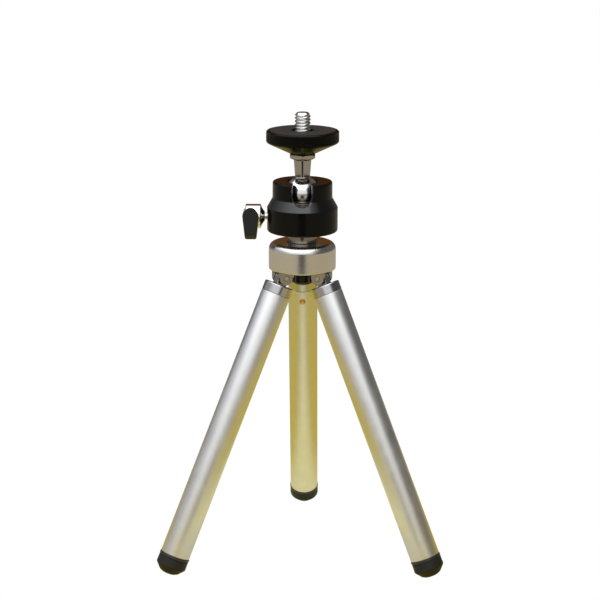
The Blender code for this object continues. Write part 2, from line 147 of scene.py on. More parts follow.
def rounded(corners: list[tuple[float, float, float]], arc_steps: int = 5,
            guard: float = 0.06, closed: bool = False) -> np.ndarray:
    """A polyline with each corner turned into an arc.

    A corner of radius r gives up r * tan(half the turn) of each side, and a quadratic
    curve through the corner replaces it. A guard point a little way along each side keeps
    the shading of the flat part flat.

    Args:
        corners: (u, v, radius) triples in millimetres.
        arc_steps: segments in each arc.
        guard: distance of the guard points from the arc's ends.
        closed: whether the last point joins the first.

    Returns:
        Points as an array of (u, v) in millimetres.
    """
    pts = np.array([c[:2] for c in corners], float)
    count = len(pts)
    made: list[np.ndarray] = []
    for i, (_, _, radius) in enumerate(corners):
        here = pts[i]
        if radius <= 0.0 or (not closed and i in (0, count - 1)):
            made.append(here[None])
            continue
        before, after = pts[i - 1] - here, pts[(i + 1) % count] - here
        lb, la = np.linalg.norm(before), np.linalg.norm(after)
        ub, ua = before / lb, after / la
        turn = math.pi - math.acos(float(np.clip(ub @ ua, -1.0, 1.0)))
        cut = min(radius * math.tan(turn / 2.0), 0.46 * lb, 0.46 * la)
        t = np.linspace(0.0, 1.0, arc_steps + 1)[:, None]
        weight = math.cos(turn / 2.0)
        start, stop = here + ub * cut, here + ua * cut
        share = (1 - t) ** 2 + 2 * weight * t * (1 - t) + t ** 2
        curve = ((1 - t) ** 2 * start + 2 * weight * t * (1 - t) * here + t ** 2 * stop) / share
        pad = min(guard, 0.2 * cut + 0.01)
        made += [(start + ub * pad)[None], curve, (stop + ua * pad)[None]]
    return np.concatenate(made)


def grid_faces(rows: int, cols: int, wrap_rows: bool) -> np.ndarray:
    """Quads of a grid whose columns wrap round; its rows wrap too if asked.

    Args:
        rows: rows of the grid.
        cols: its columns, which wrap round.
        wrap_rows: whether the last row joins the first.

    Returns:
        Corner numbers of the quads, as an array (n, 4).
    """
    r = np.arange(rows if wrap_rows else rows - 1)
    c = np.arange(cols)
    rr, cc = np.meshgrid(r, c, indexing="ij")
    r2, c2 = (rr + 1) % rows, (cc + 1) % cols
    quads = np.stack([rr * cols + cc, rr * cols + c2, r2 * cols + c2, r2 * cols + cc], axis=-1)
    return quads.reshape(-1, 4)


def revolve(profile: np.ndarray, steps: int) -> np.ndarray:
    """A turned surface: point (radius, height) at angle a is (r cos a, r sin a, h).

    Args:
        profile: (n, 2) radii and heights in millimetres.
        steps: number of columns round the axis.

    Returns:
        Grid of points (n, steps, 3) in metres.
    """
    a = np.arange(steps) * TAU / steps
    r, h = profile[:, :1], profile[:, 1:]
    return np.stack([r * np.cos(a), r * np.sin(a), h + 0.0 * a], axis=-1) * MM


def radial(radii: np.ndarray, heights: np.ndarray) -> np.ndarray:
    """A surface round Z whose radius changes with angle too: radii is (rows, steps).

    Args:
        radii: radius in millimetres at every row and column.
        heights: height of each row in millimetres.

    Returns:
        Grid of points (rows, columns, 3) in metres.
    """
    a = np.arange(radii.shape[1]) * TAU / radii.shape[1]
    return np.stack([radii * np.cos(a), radii * np.sin(a), heights[:, None] + 0.0 * radii],
                    axis=-1) * MM


def slab(outline: np.ndarray, half: float, edge: float, steps: int = 4) -> np.ndarray:
    """A plate with a convex outline and rounded rims, as a grid from face to face.

    On the near rim, ring t is the outline moved inward by edge * (1 - sin t) at the depth
    half - edge * (1 - cos t); on the far rim sine and cosine change places and the depth
    its sign. The two faces close on the outline's middle.

    Args:
        outline: (n, 2) points in X and Z, in millimetres.
        half: half of the thickness along Y.
        edge: radius of the rim.
        steps: segments in each rim.

    Returns:
        Grid of points (rings, n, 3) in metres.
    """
    middle = outline.mean(axis=0)
    ahead, behind = np.roll(outline, -1, axis=0), np.roll(outline, 1, axis=0)
    run = ahead - behind
    normal = np.stack([run[:, 1], -run[:, 0]], axis=1)
    normal /= np.linalg.norm(normal, axis=1, keepdims=True)
    normal *= np.sign(((outline - middle) * normal).sum())
    t = np.linspace(0.0, math.pi / 2, steps + 1)
    inset = np.concatenate([edge * (1 - np.sin(t)), (edge * (1 - np.cos(t)))[1:]])
    depth = np.concatenate([half - edge * (1 - np.cos(t)), -(half - edge * (1 - np.sin(t)))[1:]])
    flat = outline[None] - normal[None] * inset[:, None, None]
    centre = np.broadcast_to(middle, outline.shape)[None]
    levels = np.concatenate([[half, half], depth, [-half, -half]])
    xz = np.concatenate([centre, middle + (flat[:1] - middle) * GUARD_RING, flat,
                         middle + (flat[-1:] - middle) * GUARD_RING, centre])
    y = np.broadcast_to(levels[:, None], xz.shape[:2])
    return np.stack([xz[..., 0], y, xz[..., 1]], axis=-1) * MM


def mesh_from(points: np.ndarray, ring: bool, name: str) -> bpy.types.Mesh:
    """The mesh of a grid of points.

    Args:
        points: points of shape (rows, columns, 3), in metres.
        ring: whether the rows wrap round.
        name: the mesh's name.

    Returns:
        A closed mesh with its doubles merged and its faces pointing out.
    """
    rows, cols = points.shape[:2]
    mesh = bpy.data.meshes.new(name)
    mesh.from_pydata(points.reshape(-1, 3).tolist(), [], grid_faces(rows, cols, ring).tolist())
    bm = bmesh.new()
    bm.from_mesh(mesh)
    bmesh.ops.remove_doubles(bm, verts=bm.verts, dist=1e-7)
    bmesh.ops.dissolve_degenerate(bm, edges=bm.edges, dist=1e-8)
    bmesh.ops.recalc_face_normals(bm, faces=bm.faces)
    bm.to_mesh(mesh)
    bm.free()
    return mesh


class Cut(Enum):
    """What a Boolean does with its tool."""

    JOIN = "UNION"
    REMOVE = "DIFFERENCE"


@dataclass
class Maker:
    """Turns grids of points into finished pieces that ride on a body."""

    place: Place
    body: str

    def loose(self, name: str, grid: np.ndarray, ring: bool = False) -> bpy.types.Object:
        """A bare object of a grid given in this maker's frame; ring wraps its rows.

        Args:
            name: the object's name.
            grid: points in this maker's frame, in metres.
            ring: whether the rows wrap round.

        Returns:
            The object, without finish or body.
        """
        moved = self.place.out(grid.reshape(-1, 3)).reshape(grid.shape)
        obj = bpy.data.objects.new(name, mesh_from(moved, ring, name))
        bpy.context.scene.collection.objects.link(obj)
        return obj

    def combined(self, obj: bpy.types.Object, steps: list[tuple[Cut, bpy.types.Object]],
                 bevel: float = 0.0, segments: int = 2, angle: float = 32.0) -> bpy.types.Object:
        """Join and cut an object with tools, round its edges and apply it all.

        Args:
            obj: the object to change.
            steps: what to do, and with which object, in order.
            bevel: width of the rounded edges in millimetres, or 0 for none.
            segments: segments of the rounded edges.
            angle: edges sharper than this many degrees are rounded.

        Returns:
            The same object with its final mesh; the tools are gone.
        """
        for how, tool in steps:
            mod = obj.modifiers.new(how.name.lower(), "BOOLEAN")
            mod.operation = how.value
            mod.object = tool
            mod.solver = "EXACT"
        self.apply(obj)
        bm = bmesh.new()
        bm.from_mesh(obj.data)
        bmesh.ops.remove_doubles(bm, verts=bm.verts, dist=2e-6)
        bmesh.ops.dissolve_limit(bm, angle_limit=math.radians(0.4), verts=bm.verts,
                                 edges=bm.edges)
        bm.to_mesh(obj.data)
        bm.free()
        if bevel > 0.0:
            mod = obj.modifiers.new("edges", "BEVEL")
            mod.width = bevel * MM
            mod.segments = segments
            mod.limit_method = "ANGLE"
            mod.angle_limit = math.radians(angle)
            mod.harden_normals = False
            mod.miter_outer = "MITER_ARC"
            self.apply(obj)
        for _, tool in steps:
            bpy.data.objects.remove(tool, do_unlink=True)
        return obj

    @staticmethod
    def apply(obj: bpy.types.Object) -> None:
        """Turn an object's modifiers into its mesh.

        Args:
            obj: the object, whose modifiers are emptied.
        """
        bpy.context.view_layer.update()
        graph = bpy.context.evaluated_depsgraph_get()
        mesh = bpy.data.meshes.new_from_object(obj.evaluated_get(graph))
        obj.modifiers.clear()
        obj.data = mesh

    def finish(self, obj: bpy.types.Object, finish: "Finish", node: str,
               smooth_angle: float = 40.0, flat_faces: bool = False) -> None:
        """Shade, dress and attach a piece.

        Args:
            obj: the piece.
            finish: its finish.
            node: the CAD node that it stands for.
            smooth_angle: edges sharper than this many degrees stay sharp.
            flat_faces: whether broad flat faces keep a flat shading up to their edges.
        """
        mesh = obj.data
        mesh.shade_smooth()
        mesh.set_sharp_from_angle(angle=math.radians(smooth_angle))
        co = np.zeros(len(mesh.vertices) * 3, np.float32)
        mesh.vertices.foreach_get("co", co)
        inner = self.place.back(co.reshape(-1, 3).astype(float)).astype(np.float32)
        attribute = mesh.attributes.new(LOCAL, "FLOAT_VECTOR", "POINT")
        attribute.data.foreach_set("vector", inner.ravel())
        mesh.materials.clear()
        mesh.materials.append(finish.material())
        if flat_faces:
            mod = obj.modifiers.new("flat_faces", "WEIGHTED_NORMAL")
            mod.keep_sharp = True
            mod.weight = 90
        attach(obj, self.body)
        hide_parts(node)
        log.info("%-24s %6d faces on %s", obj.name, len(mesh.polygons), self.body)

    def turn(self, name: str, profile: np.ndarray, steps: int, finish: "Finish", node: str,
             ring: bool = False) -> None:
        """Make a finished turned piece; ring says that its profile closes on itself.

        Args:
            name: the piece's name.
            profile: radii and heights in millimetres.
            steps: columns round the axis.
            finish: its finish.
            node: the CAD node that it stands for.
            ring: whether the profile closes on itself.
        """
        self.finish(self.loose(name, revolve(profile, steps), ring), finish, node)


# ---------------------------------------------------------------- finishes


class Bench:
    """Adds and links the nodes of one tree."""

    def __init__(self, tree: bpy.types.NodeTree) -> None:
        """Work on a tree."""
        self.tree = tree

    def add(self, kind: str, **settings: object) -> bpy.types.Node:
        """A new node with some of its settings.

        Args:
            kind: the type of node.
            settings: properties to set on it.

        Returns:
            The node.
        """
        node = self.tree.nodes.new(kind)
        for key, value in settings.items():
            setattr(node, key, value)
        return node

    def feed(self, socket: bpy.types.NodeSocket, value: object) -> None:
        """Link a socket to another, or set it to a value.

        Args:
            socket: an input.
            value: an output to link to it, or its value.
        """
        if isinstance(value, bpy.types.NodeSocket):
            self.tree.links.new(value, socket)
        else:
            socket.default_value = value

    def math(self, operation: str, *values: object, clamp: bool = False) -> bpy.types.NodeSocket:
        """The result of a Math node.

        Args:
            operation: what the node does.
            values: its inputs, in order.
            clamp: whether the result stays between 0 and 1.

        Returns:
            The result.
        """
        node = self.add("ShaderNodeMath", operation=operation, use_clamp=clamp)
        for socket, value in zip(node.inputs, values):
            self.feed(socket, value)
        return node.outputs[0]

    def times(self, *values: object, clamp: bool = False) -> bpy.types.NodeSocket:
        """The product of two values."""
        return self.math("MULTIPLY", *values, clamp=clamp)

    def plus(self, *values: object, clamp: bool = False) -> bpy.types.NodeSocket:
        """The sum of two values."""
        return self.math("ADD", *values, clamp=clamp)

    def split(self, vector: object) -> list[bpy.types.NodeSocket]:
        """The three parts of a vector."""
        node = self.add("ShaderNodeSeparateXYZ")
        self.feed(node.inputs[0], vector)
        return list(node.outputs[:3])

    def noise(self, vector: object, scale: float, detail: float = 3.0,
              rough: float = 0.5) -> bpy.types.NodeSocket:
        """A noise value at a vector.

        Args:
            vector: where it is read.
            scale: its scale.
            detail: its octaves.
            rough: the weight of the finer octaves.

        Returns:
            The noise, from 0 to 1.
        """
        node = self.add("ShaderNodeTexNoise")
        self.feed(node.inputs["Vector"], vector)
        self.feed(node.inputs["Scale"], scale)
        node.inputs["Detail"].default_value = detail
        node.inputs["Roughness"].default_value = rough
        return node.outputs["Fac"]

    def span(self, value: object, low: float, high: float, out_low: object = 0.0,
             out_high: object = 1.0) -> bpy.types.NodeSocket:
        """Map a value smoothly from one range to another.

        Args:
            value: what is mapped.
            low: start of its range.
            high: end of its range.
            out_low: result at the start.
            out_high: result at the end.

        Returns:
            The result.
        """
        node = self.add("ShaderNodeMapRange", interpolation_type="SMOOTHSTEP")
        self.feed(node.inputs["Value"], value)
        self.feed(node.inputs["From Min"], low)
        self.feed(node.inputs["From Max"], high)
        self.feed(node.inputs["To Min"], out_low)
        self.feed(node.inputs["To Max"], out_high)
        return node.outputs["Result"]

    def blend(self, share: object, first: object, second: object) -> bpy.types.NodeSocket:
        """Mix two colours by a share.

        Args:
            share: share of the second colour.
            first: a colour.
            second: another colour.

        Returns:
            The mixed colour.
        """
        node = self.add("ShaderNodeMix", data_type="RGBA")
        self.feed(node.inputs[0], share)
        self.feed(node.inputs[6], first)
        self.feed(node.inputs[7], second)
        return node.outputs[2]

    def plain(self, kind: str, colour: object, strength: float | None = None
              ) -> bpy.types.NodeSocket:
        """The output of a simple shader or light of one colour.

        Args:
            kind: the type of node.
            colour: its colour.
            strength: its strength, where it has one.

        Returns:
            Its output.
        """
        node = self.add(kind)
        self.feed(node.inputs["Color"], colour)
        if strength is not None:
            node.inputs["Strength"].default_value = strength
        return node.outputs[0]

    def close(self, out: bpy.types.Node, mirrored: object, looked_at: object) -> None:
        """Give an output one shader for rays from the camera and another for all others.

        Args:
            out: the output node.
            mirrored: the shader of all other rays.
            looked_at: the shader of rays from the camera.
        """
        mix = self.add("ShaderNodeMixShader")
        self.feed(mix.inputs[0], self.add("ShaderNodeLightPath").outputs["Is Camera Ray"])
        self.feed(mix.inputs[1], mirrored)
        self.feed(mix.inputs[2], looked_at)
        self.feed(out.inputs["Surface"], mix.outputs[0])

    def group(self, tree: bpy.types.NodeTree, **values: object) -> bpy.types.Node:
        """Place a node group with values for its inputs.

        Args:
            tree: the group.
            values: input name, with _ for a space, to value or socket.

        Returns:
            The node.
        """
        node = self.add("ShaderNodeGroup", node_tree=tree)
        for name, value in values.items():
            self.feed(node.inputs[name.replace("_", " ")], value)
        return node


def group_tree(name: str, inputs: dict[str, tuple[str, object]],
               outputs: dict[str, str]) -> tuple[bpy.types.NodeTree, Bench, object, object]:
    """A new node group with named sockets.

    Args:
        name: the group's name.
        inputs: socket name to (kind, default value), or None for no default.
        outputs: socket name to kind.

    Returns:
        The tree, a bench on it, and its input and output nodes.
    """
    tree = bpy.data.node_groups.new(name, "ShaderNodeTree")
    kinds = {"float": "NodeSocketFloat", "vector": "NodeSocketVector", "colour": "NodeSocketColor"}
    for label, (kind, value) in inputs.items():
        socket = tree.interface.new_socket(label, in_out="INPUT", socket_type=kinds[kind])
        if value is not None:
            socket.default_value = value
    for label, kind in outputs.items():
        tree.interface.new_socket(label, in_out="OUTPUT", socket_type=kinds[kind])
    bench = Bench(tree)
    return tree, bench, bench.add("NodeGroupInput"), bench.add("NodeGroupOutput")


class Effects:
    """Node groups that several finishes share, each built once."""

    @staticmethod
    @cache
    def handling() -> bpy.types.NodeTree:
        """Smudges and hairline marks of use: a roughness change and a small height.

        Returns:
            The node group.
        """
        tree, b, i, o = group_tree(
            "handling_marks",
            {"Vector": ("vector", None), "Smudge Scale": ("float", 90.0),
             "Mark Scale": ("float", 700.0)},
            {"Smudge": "float", "Mark": "float"})
        broad = b.noise(i.outputs["Vector"], i.outputs["Smudge Scale"], 4.0, 0.55)
        b.feed(o.inputs["Smudge"], b.span(broad, 0.42, 0.68))
        stretch = b.add("ShaderNodeMapping")
        stretch.inputs["Scale"].default_value = (1.0, 1.0, 0.06)
        stretch.inputs["Rotation"].default_value = (0.5, 0.35, 0.2)
        b.feed(stretch.inputs["Vector"], i.outputs["Vector"])
        line = b.noise(stretch.outputs[0], i.outputs["Mark Scale"], 2.0, 0.6)
        b.feed(o.inputs["Mark"], b.span(line, 0.63, 0.70))
        return tree

    @staticmethod
    @cache
    def turning() -> bpy.types.NodeTree:
        """Tool lines of turned metal, from radius plus height, broken up by noise.

        Returns:
            The node group.
        """
        tree, b, i, o = group_tree(
            "turning_lines",
            {"Vector": ("vector", None), "Pitch": ("float", 0.00018)},
            {"Height": "float", "Tone": "float"})
        x, y, z = b.split(i.outputs["Vector"])
        square = b.plus(b.times(x, x), b.times(y, y))
        along = b.plus(b.math("SQRT", square), z)
        wobble = b.noise(i.outputs["Vector"], 260.0, 2.0, 0.5)
        phase = b.plus(b.math("DIVIDE", along, i.outputs["Pitch"]), wobble)
        wave = b.math("SINE", b.times(phase, TAU))
        ring = b.add("ShaderNodeTexNoise", noise_dimensions="1D")
        b.feed(ring.inputs["W"], b.times(along, 5200.0))
        ring.inputs["Scale"].default_value = 1.0
        ring.inputs["Detail"].default_value = 3.0
        both = b.plus(b.times(wave, 0.25), ring.outputs["Fac"])
        b.feed(o.inputs["Height"], both)
        b.feed(o.inputs["Tone"], ring.outputs["Fac"])
        return tree

    @staticmethod
    @cache
    def grain() -> bpy.types.NodeTree:
        """Fine drawn grain along Z over a blasted speckle.

        Returns:
            The node group.
        """
        tree, b, i, o = group_tree(
            "drawn_grain",
            {"Vector": ("vector", None), "Stretch": ("float", 0.05),
             "Scale": ("float", 2600.0)},
            {"Height": "float", "Tone": "float"})
        shape = b.add("ShaderNodeCombineXYZ")
        b.feed(shape.inputs[0], 1.0)
        b.feed(shape.inputs[1], 1.0)
        b.feed(shape.inputs[2], i.outputs["Stretch"])
        scaled = b.add("ShaderNodeVectorMath", operation="MULTIPLY")
        b.feed(scaled.inputs[0], i.outputs["Vector"])
        b.feed(scaled.inputs[1], shape.outputs[0])
        lines = b.noise(scaled.outputs[0], i.outputs["Scale"], 3.0, 0.6)
        speck = b.noise(i.outputs["Vector"], 5200.0, 2.0, 0.5)
        height = b.plus(b.times(lines, 0.45), b.times(speck, 0.55))
        b.feed(o.inputs["Height"], height)
        cloud = b.noise(i.outputs["Vector"], 240.0, 3.0, 0.55)
        b.feed(o.inputs["Tone"], b.plus(b.times(lines, 0.5),
                                        b.times(cloud, 0.5)))
        return tree

    @staticmethod
    @cache
    def dust() -> bpy.types.NodeTree:
        """Sparse lint and settled dust, stronger where the surface faces up.

        Returns:
            The node group.
        """
        tree, b, i, o = group_tree(
            "settled_dust",
            {"Vector": ("vector", None), "Amount": ("float", 0.2)},
            {"Mask": "float"})
        fine = b.noise(i.outputs["Vector"], 3400.0, 2.0, 0.5)
        specks = b.span(fine, 0.66, 0.74)
        cloud = b.span(b.noise(i.outputs["Vector"], 150.0, 4.0, 0.6), 0.35, 0.75)
        tilt = b.split(b.add("ShaderNodeNewGeometry").outputs["Normal"])[2]
        settled = b.times(b.plus(specks, b.times(cloud, 0.25)), b.span(tilt, 0.0, 1.0, 0.25, 1.0))
        b.feed(o.inputs["Mask"], b.times(settled, i.outputs["Amount"], clamp=True))
        return tree

    @staticmethod
    @cache
    def band() -> bpy.types.NodeTree:
        """One between two heights of the piece's own frame, with soft borders.

        Returns:
            The node group.
        """
        tree, b, i, o = group_tree(
            "height_band",
            {"Vector": ("vector", None), "Low": ("float", 0.0), "High": ("float", 1.0)},
            {"Mask": "float"})
        height = b.split(i.outputs["Vector"])[2]
        soft = 0.08 * MM
        low, high = i.outputs["Low"], i.outputs["High"]
        rise = b.span(height, b.math("SUBTRACT", low, soft), b.plus(low, soft))
        fall = b.span(height, b.math("SUBTRACT", high, soft), b.plus(high, soft), 1.0, 0.0)
        b.feed(o.inputs["Mask"], b.times(rise, fall))
        return tree


class Coords(Enum):
    """Where a finish reads its pattern."""

    PIECE = "the frame of the piece, kept in an attribute"
    OBJECT = "Object coordinates"


@dataclass(frozen=True)
class Finish:
    """A metal, plastic or rubber surface with its own grain and marks of use.

    Band is the heights in millimetres between which the coat lies. Shade is the heights
    of a band of painted shade, a darker colour that stands in for shadow, and the share
    of the colour that it keeps.
    """

    name: str
    slot: str
    colour: tuple[float, float, float]
    second: tuple[float, float, float]
    metallic: float
    rough: float
    rough_spread: float = 0.06
    tone: float = 0.5
    relief: float = 0.0
    relief_depth: float = 0.02
    pattern: str = "grain"
    pitch: float = 0.00018
    stretch: float = 0.05
    scale: float = 2600.0
    dust: float = 0.0
    smudge: float = 0.06
    coat: float = 0.0
    coat_rough: float = 0.1
    specular: float = 0.5
    band: tuple[float, float] | None = None
    shade: tuple[float, float, float] | None = None
    coords: Coords = Coords.PIECE

    def material(self) -> bpy.types.Material:
        """The material of this finish, made the first time it is asked for.

        The base colour drifts between two tones with the pattern, roughness drifts with
        smudges, and the pattern's height feeds a Bump node.

        Returns:
            The material.
        """
        found = bpy.data.materials.get(self.name)
        if found is not None:
            return found
        made = bpy.data.materials.new(self.name)
        made.use_nodes = True
        made.diffuse_color = (*self.colour, 1.0)
        tree = made.node_tree
        shader = tree.nodes["Principled BSDF"]
        b = Bench(tree)
        vector = self._vector(b)
        if self.pattern == "turned":
            effect = b.group(Effects.turning(), Vector=vector, Pitch=self.pitch)
        else:
            effect = b.group(Effects.grain(), Vector=vector, Stretch=self.stretch,
                             Scale=self.scale)
        marks = b.group(Effects.handling(), Vector=vector)
        share = b.span(effect.outputs["Tone"], 0.5 - self.tone, 0.5 + self.tone)
        colour = b.blend(share, (*self.colour, 1.0), (*self.second, 1.0))
        if self.dust > 0.0:
            veil = b.group(Effects.dust(), Vector=vector, Amount=self.dust)
            colour = b.blend(veil.outputs["Mask"], colour, (0.30, 0.28, 0.25, 1.0))
        # Painted shade: between the shade heights the colour is darkened to stand in for shadow.
        if self.shade is not None:
            painted_shade_mask = b.group(Effects.band(), Vector=vector, Low=self.shade[0] * MM,
                            High=self.shade[1] * MM)
            painted_shade_colour = tuple(c * self.shade[2] for c in self.colour)
            colour = b.blend(painted_shade_mask.outputs["Mask"], colour, (*painted_shade_colour, 1.0))
        b.feed(shader.inputs["Base Color"], colour)
        rough = b.plus(self.rough, b.times(marks.outputs["Smudge"], self.smudge))
        rough = b.plus(rough, b.times(b.math(
            "SUBTRACT", effect.outputs["Tone"], 0.5), self.rough_spread))
        rough = b.plus(rough, b.times(marks.outputs["Mark"], 0.05), clamp=True)
        b.feed(shader.inputs["Roughness"], rough)
        shader.inputs["Metallic"].default_value = self.metallic
        shader.inputs["Specular IOR Level"].default_value = self.specular
        shader.inputs["Coat Roughness"].default_value = self.coat_rough
        if self.band is None:
            shader.inputs["Coat Weight"].default_value = self.coat
        else:
            gloss = b.group(Effects.band(), Vector=vector, Low=self.band[0] * MM,
                            High=self.band[1] * MM)
            b.feed(shader.inputs["Coat Weight"], b.times(gloss.outputs["Mask"],
                                                        self.coat))
        if self.relief > 0.0:
            bump = b.add("ShaderNodeBump")
            bump.inputs["Strength"].default_value = self.relief
            bump.inputs["Distance"].default_value = self.relief_depth * MM
            b.feed(bump.inputs["Height"], effect.outputs["Height"])
            b.feed(shader.inputs["Normal"], bump.outputs["Normal"])
        return made

    def _vector(self, b: Bench) -> bpy.types.NodeSocket:
        """The socket that the pattern reads."""
        if self.coords is Coords.OBJECT:
            return b.add("ShaderNodeTexCoord").outputs["Object"]
        return b.add("ShaderNodeAttribute", attribute_name=LOCAL).outputs["Vector"]


# Painted shade: the stem and hexagon, 6.2 to 16.5 mm above the ball's centre, keep 60 % of the
# colour to stand in for the shade and darker reflections there.
STUD_CHROME = Finish("stud_chrome", "chrome", (0.80, 0.785, 0.765), (0.86, 0.85, 0.83), 1.0, 0.13,
                     rough_spread=0.04, smudge=0.06, pattern="turned", pitch=0.0002,
                     shade=(6.2, 16.5, 0.60))
# Painted shade: the lever's foot, 7.1 to 12 mm below the screw's axis, keeps 12 % of the colour to
# stand in for shade beneath the head.
LEVER_CHROME = Finish("lever_chrome", "chrome", (0.80, 0.79, 0.77), (0.86, 0.85, 0.83), 1.0, 0.05,
                      rough_spread=0.02, smudge=0.05, shade=(-12.0, -7.1, 0.12))
# Painted shade: a thin line at the cap's top face, 3.05 to 3.42 mm down the leg from the pin,
# keeps 30 % of the colour to stand in for the shadow gap beside the hinge.
CAP_CHROME = Finish("cap_chrome", "chrome", (0.50, 0.50, 0.505), (0.66, 0.66, 0.66), 1.0, 0.085,
                    rough_spread=0.05, smudge=0.07, pattern="turned", pitch=0.00022,
                    relief=0.12, relief_depth=0.004, shade=(-3.42, -3.05, 0.30))
TUBE = Finish("satin_tube", "satin_aluminium", (0.76, 0.76, 0.76), (0.86, 0.86, 0.855), 1.0, 0.37,
              rough_spread=0.10, smudge=0.05, tone=0.35, relief=0.30, relief_depth=0.010,
              stretch=0.03, dust=0.05)
INNER_TUBE = Finish("inner_tube", "satin_aluminium", (0.70, 0.70, 0.70), (0.80, 0.80, 0.79), 1.0,
                    0.24, rough_spread=0.08, smudge=0.06, tone=0.35, relief=0.2,
                    relief_depth=0.006, stretch=0.015)
# Painted shade: the hub's lower edge and its lugs, from 10.95 mm below its top downward, keep 62 %
# of the colour to stand in for shade beneath the hub.
HUB_METAL = Finish("turned_hub", "turned_aluminium", (0.74, 0.725, 0.70), (0.84, 0.83, 0.81), 1.0,
                   0.25, rough_spread=0.10, smudge=0.05, pattern="turned", pitch=0.00016,
                   relief=0.08, relief_depth=0.003, tone=0.4, shade=(-20.0, -10.95, 0.62))
# Painted shade: the neck's base colour is darkened to about half of the pin steel's, standing in
# for the shade it sits in below the housing.
NECK_STEEL_SHADED = Finish("neck_steel", "turned_steel", (0.27, 0.25, 0.20), (0.35, 0.33, 0.275), 1.0,
                    0.17, rough_spread=0.08, smudge=0.05, pattern="turned", pitch=0.0002,
                    relief=0.2, relief_depth=0.004)
PIN_STEEL = Finish("pin_steel", "turned_steel", (0.56, 0.55, 0.53), (0.68, 0.67, 0.65), 1.0, 0.25,
                   pattern="turned", pitch=0.0002, relief=0.2, relief_depth=0.004)
HOUSING = Finish("housing_black", "black_anodised", (0.0022, 0.0023, 0.0020),
                 (0.0042, 0.0042, 0.0038), 0.0, 0.16, rough_spread=0.06, smudge=0.07,
                 pattern="turned", pitch=0.00024, relief=0.12, relief_depth=0.004, dust=0.03,
                 specular=0.17, coat=1.0, coat_rough=0.16, band=(-5.45, -1.75))
DISC_BLACK = Finish("disc_black", "black_anodised", (0.0014, 0.00145, 0.0011),
                    (0.0030, 0.0030, 0.0025), 0.0, 0.20, rough_spread=0.08, smudge=0.08,
                    pattern="turned", pitch=0.00024, relief=0.12, relief_depth=0.004, dust=0.02,
                    specular=0.12)
BOLT_BLACK = Finish("bolt_oxide", "black_oxide", (0.016, 0.014, 0.012), (0.03, 0.026, 0.022), 0.4,
                    0.38, relief=0.2, relief_depth=0.01, stretch=1.0)
PAD_RUBBER = Finish("pad_rubber", "black_rubber", (0.013, 0.0115, 0.009), (0.026, 0.0235, 0.019),
                    0.0, 0.62, rough_spread=0.15, relief=0.55, relief_depth=0.03, stretch=1.0,
                    scale=1900.0, dust=0.16, smudge=-0.10, specular=0.30)
FOOT_RUBBER = Finish("foot_rubber", "black_rubber", (0.008, 0.008, 0.0078), (0.017, 0.017, 0.016),
                     0.0, 0.50, rough_spread=0.14, relief=0.5, relief_depth=0.03, stretch=1.0,
                     scale=1500.0, dust=0.14, smudge=-0.08, specular=0.28)
BUSH_NYLON = Finish("bush_nylon", "black_nylon", (0.014, 0.014, 0.015), (0.026, 0.026, 0.028),
                    0.0, 0.33, relief=0.25, relief_depth=0.015, stretch=1.0, dust=0.08)
NYLON = Finish("natural_nylon", "nylon", (0.62, 0.60, 0.54), (0.74, 0.72, 0.66), 0.0, 0.42,
               relief=0.3, relief_depth=0.02, stretch=1.0, coords=Coords.OBJECT)
RIVET_BRASS = Finish("rivet_brass", "brass", (0.62, 0.33, 0.09), (0.78, 0.46, 0.16), 1.0, 0.26,
                     rough_spread=0.12, relief=0.3, relief_depth=0.01, stretch=1.0)
GREY_NYLON = Finish("grey_nylon", "nylon", (0.19, 0.20, 0.205), (0.26, 0.27, 0.27), 0.0, 0.36,
                    relief=0.3, relief_depth=0.02, stretch=1.0, coords=Coords.OBJECT)
SEAT_BRASS = Finish("seat_brass", "brass", (0.17, 0.13, 0.08), (0.25, 0.19, 0.11), 1.0, 0.42,
                    relief=0.2, relief_depth=0.01, coords=Coords.OBJECT)
HIDDEN_STEEL = Finish("hidden_steel", "turned_steel", (0.55, 0.54, 0.52), (0.66, 0.65, 0.63), 1.0,
                      0.3, relief=0.2, relief_depth=0.01, coords=Coords.OBJECT)


# ---------------------------------------------------------------- the tripod's pieces


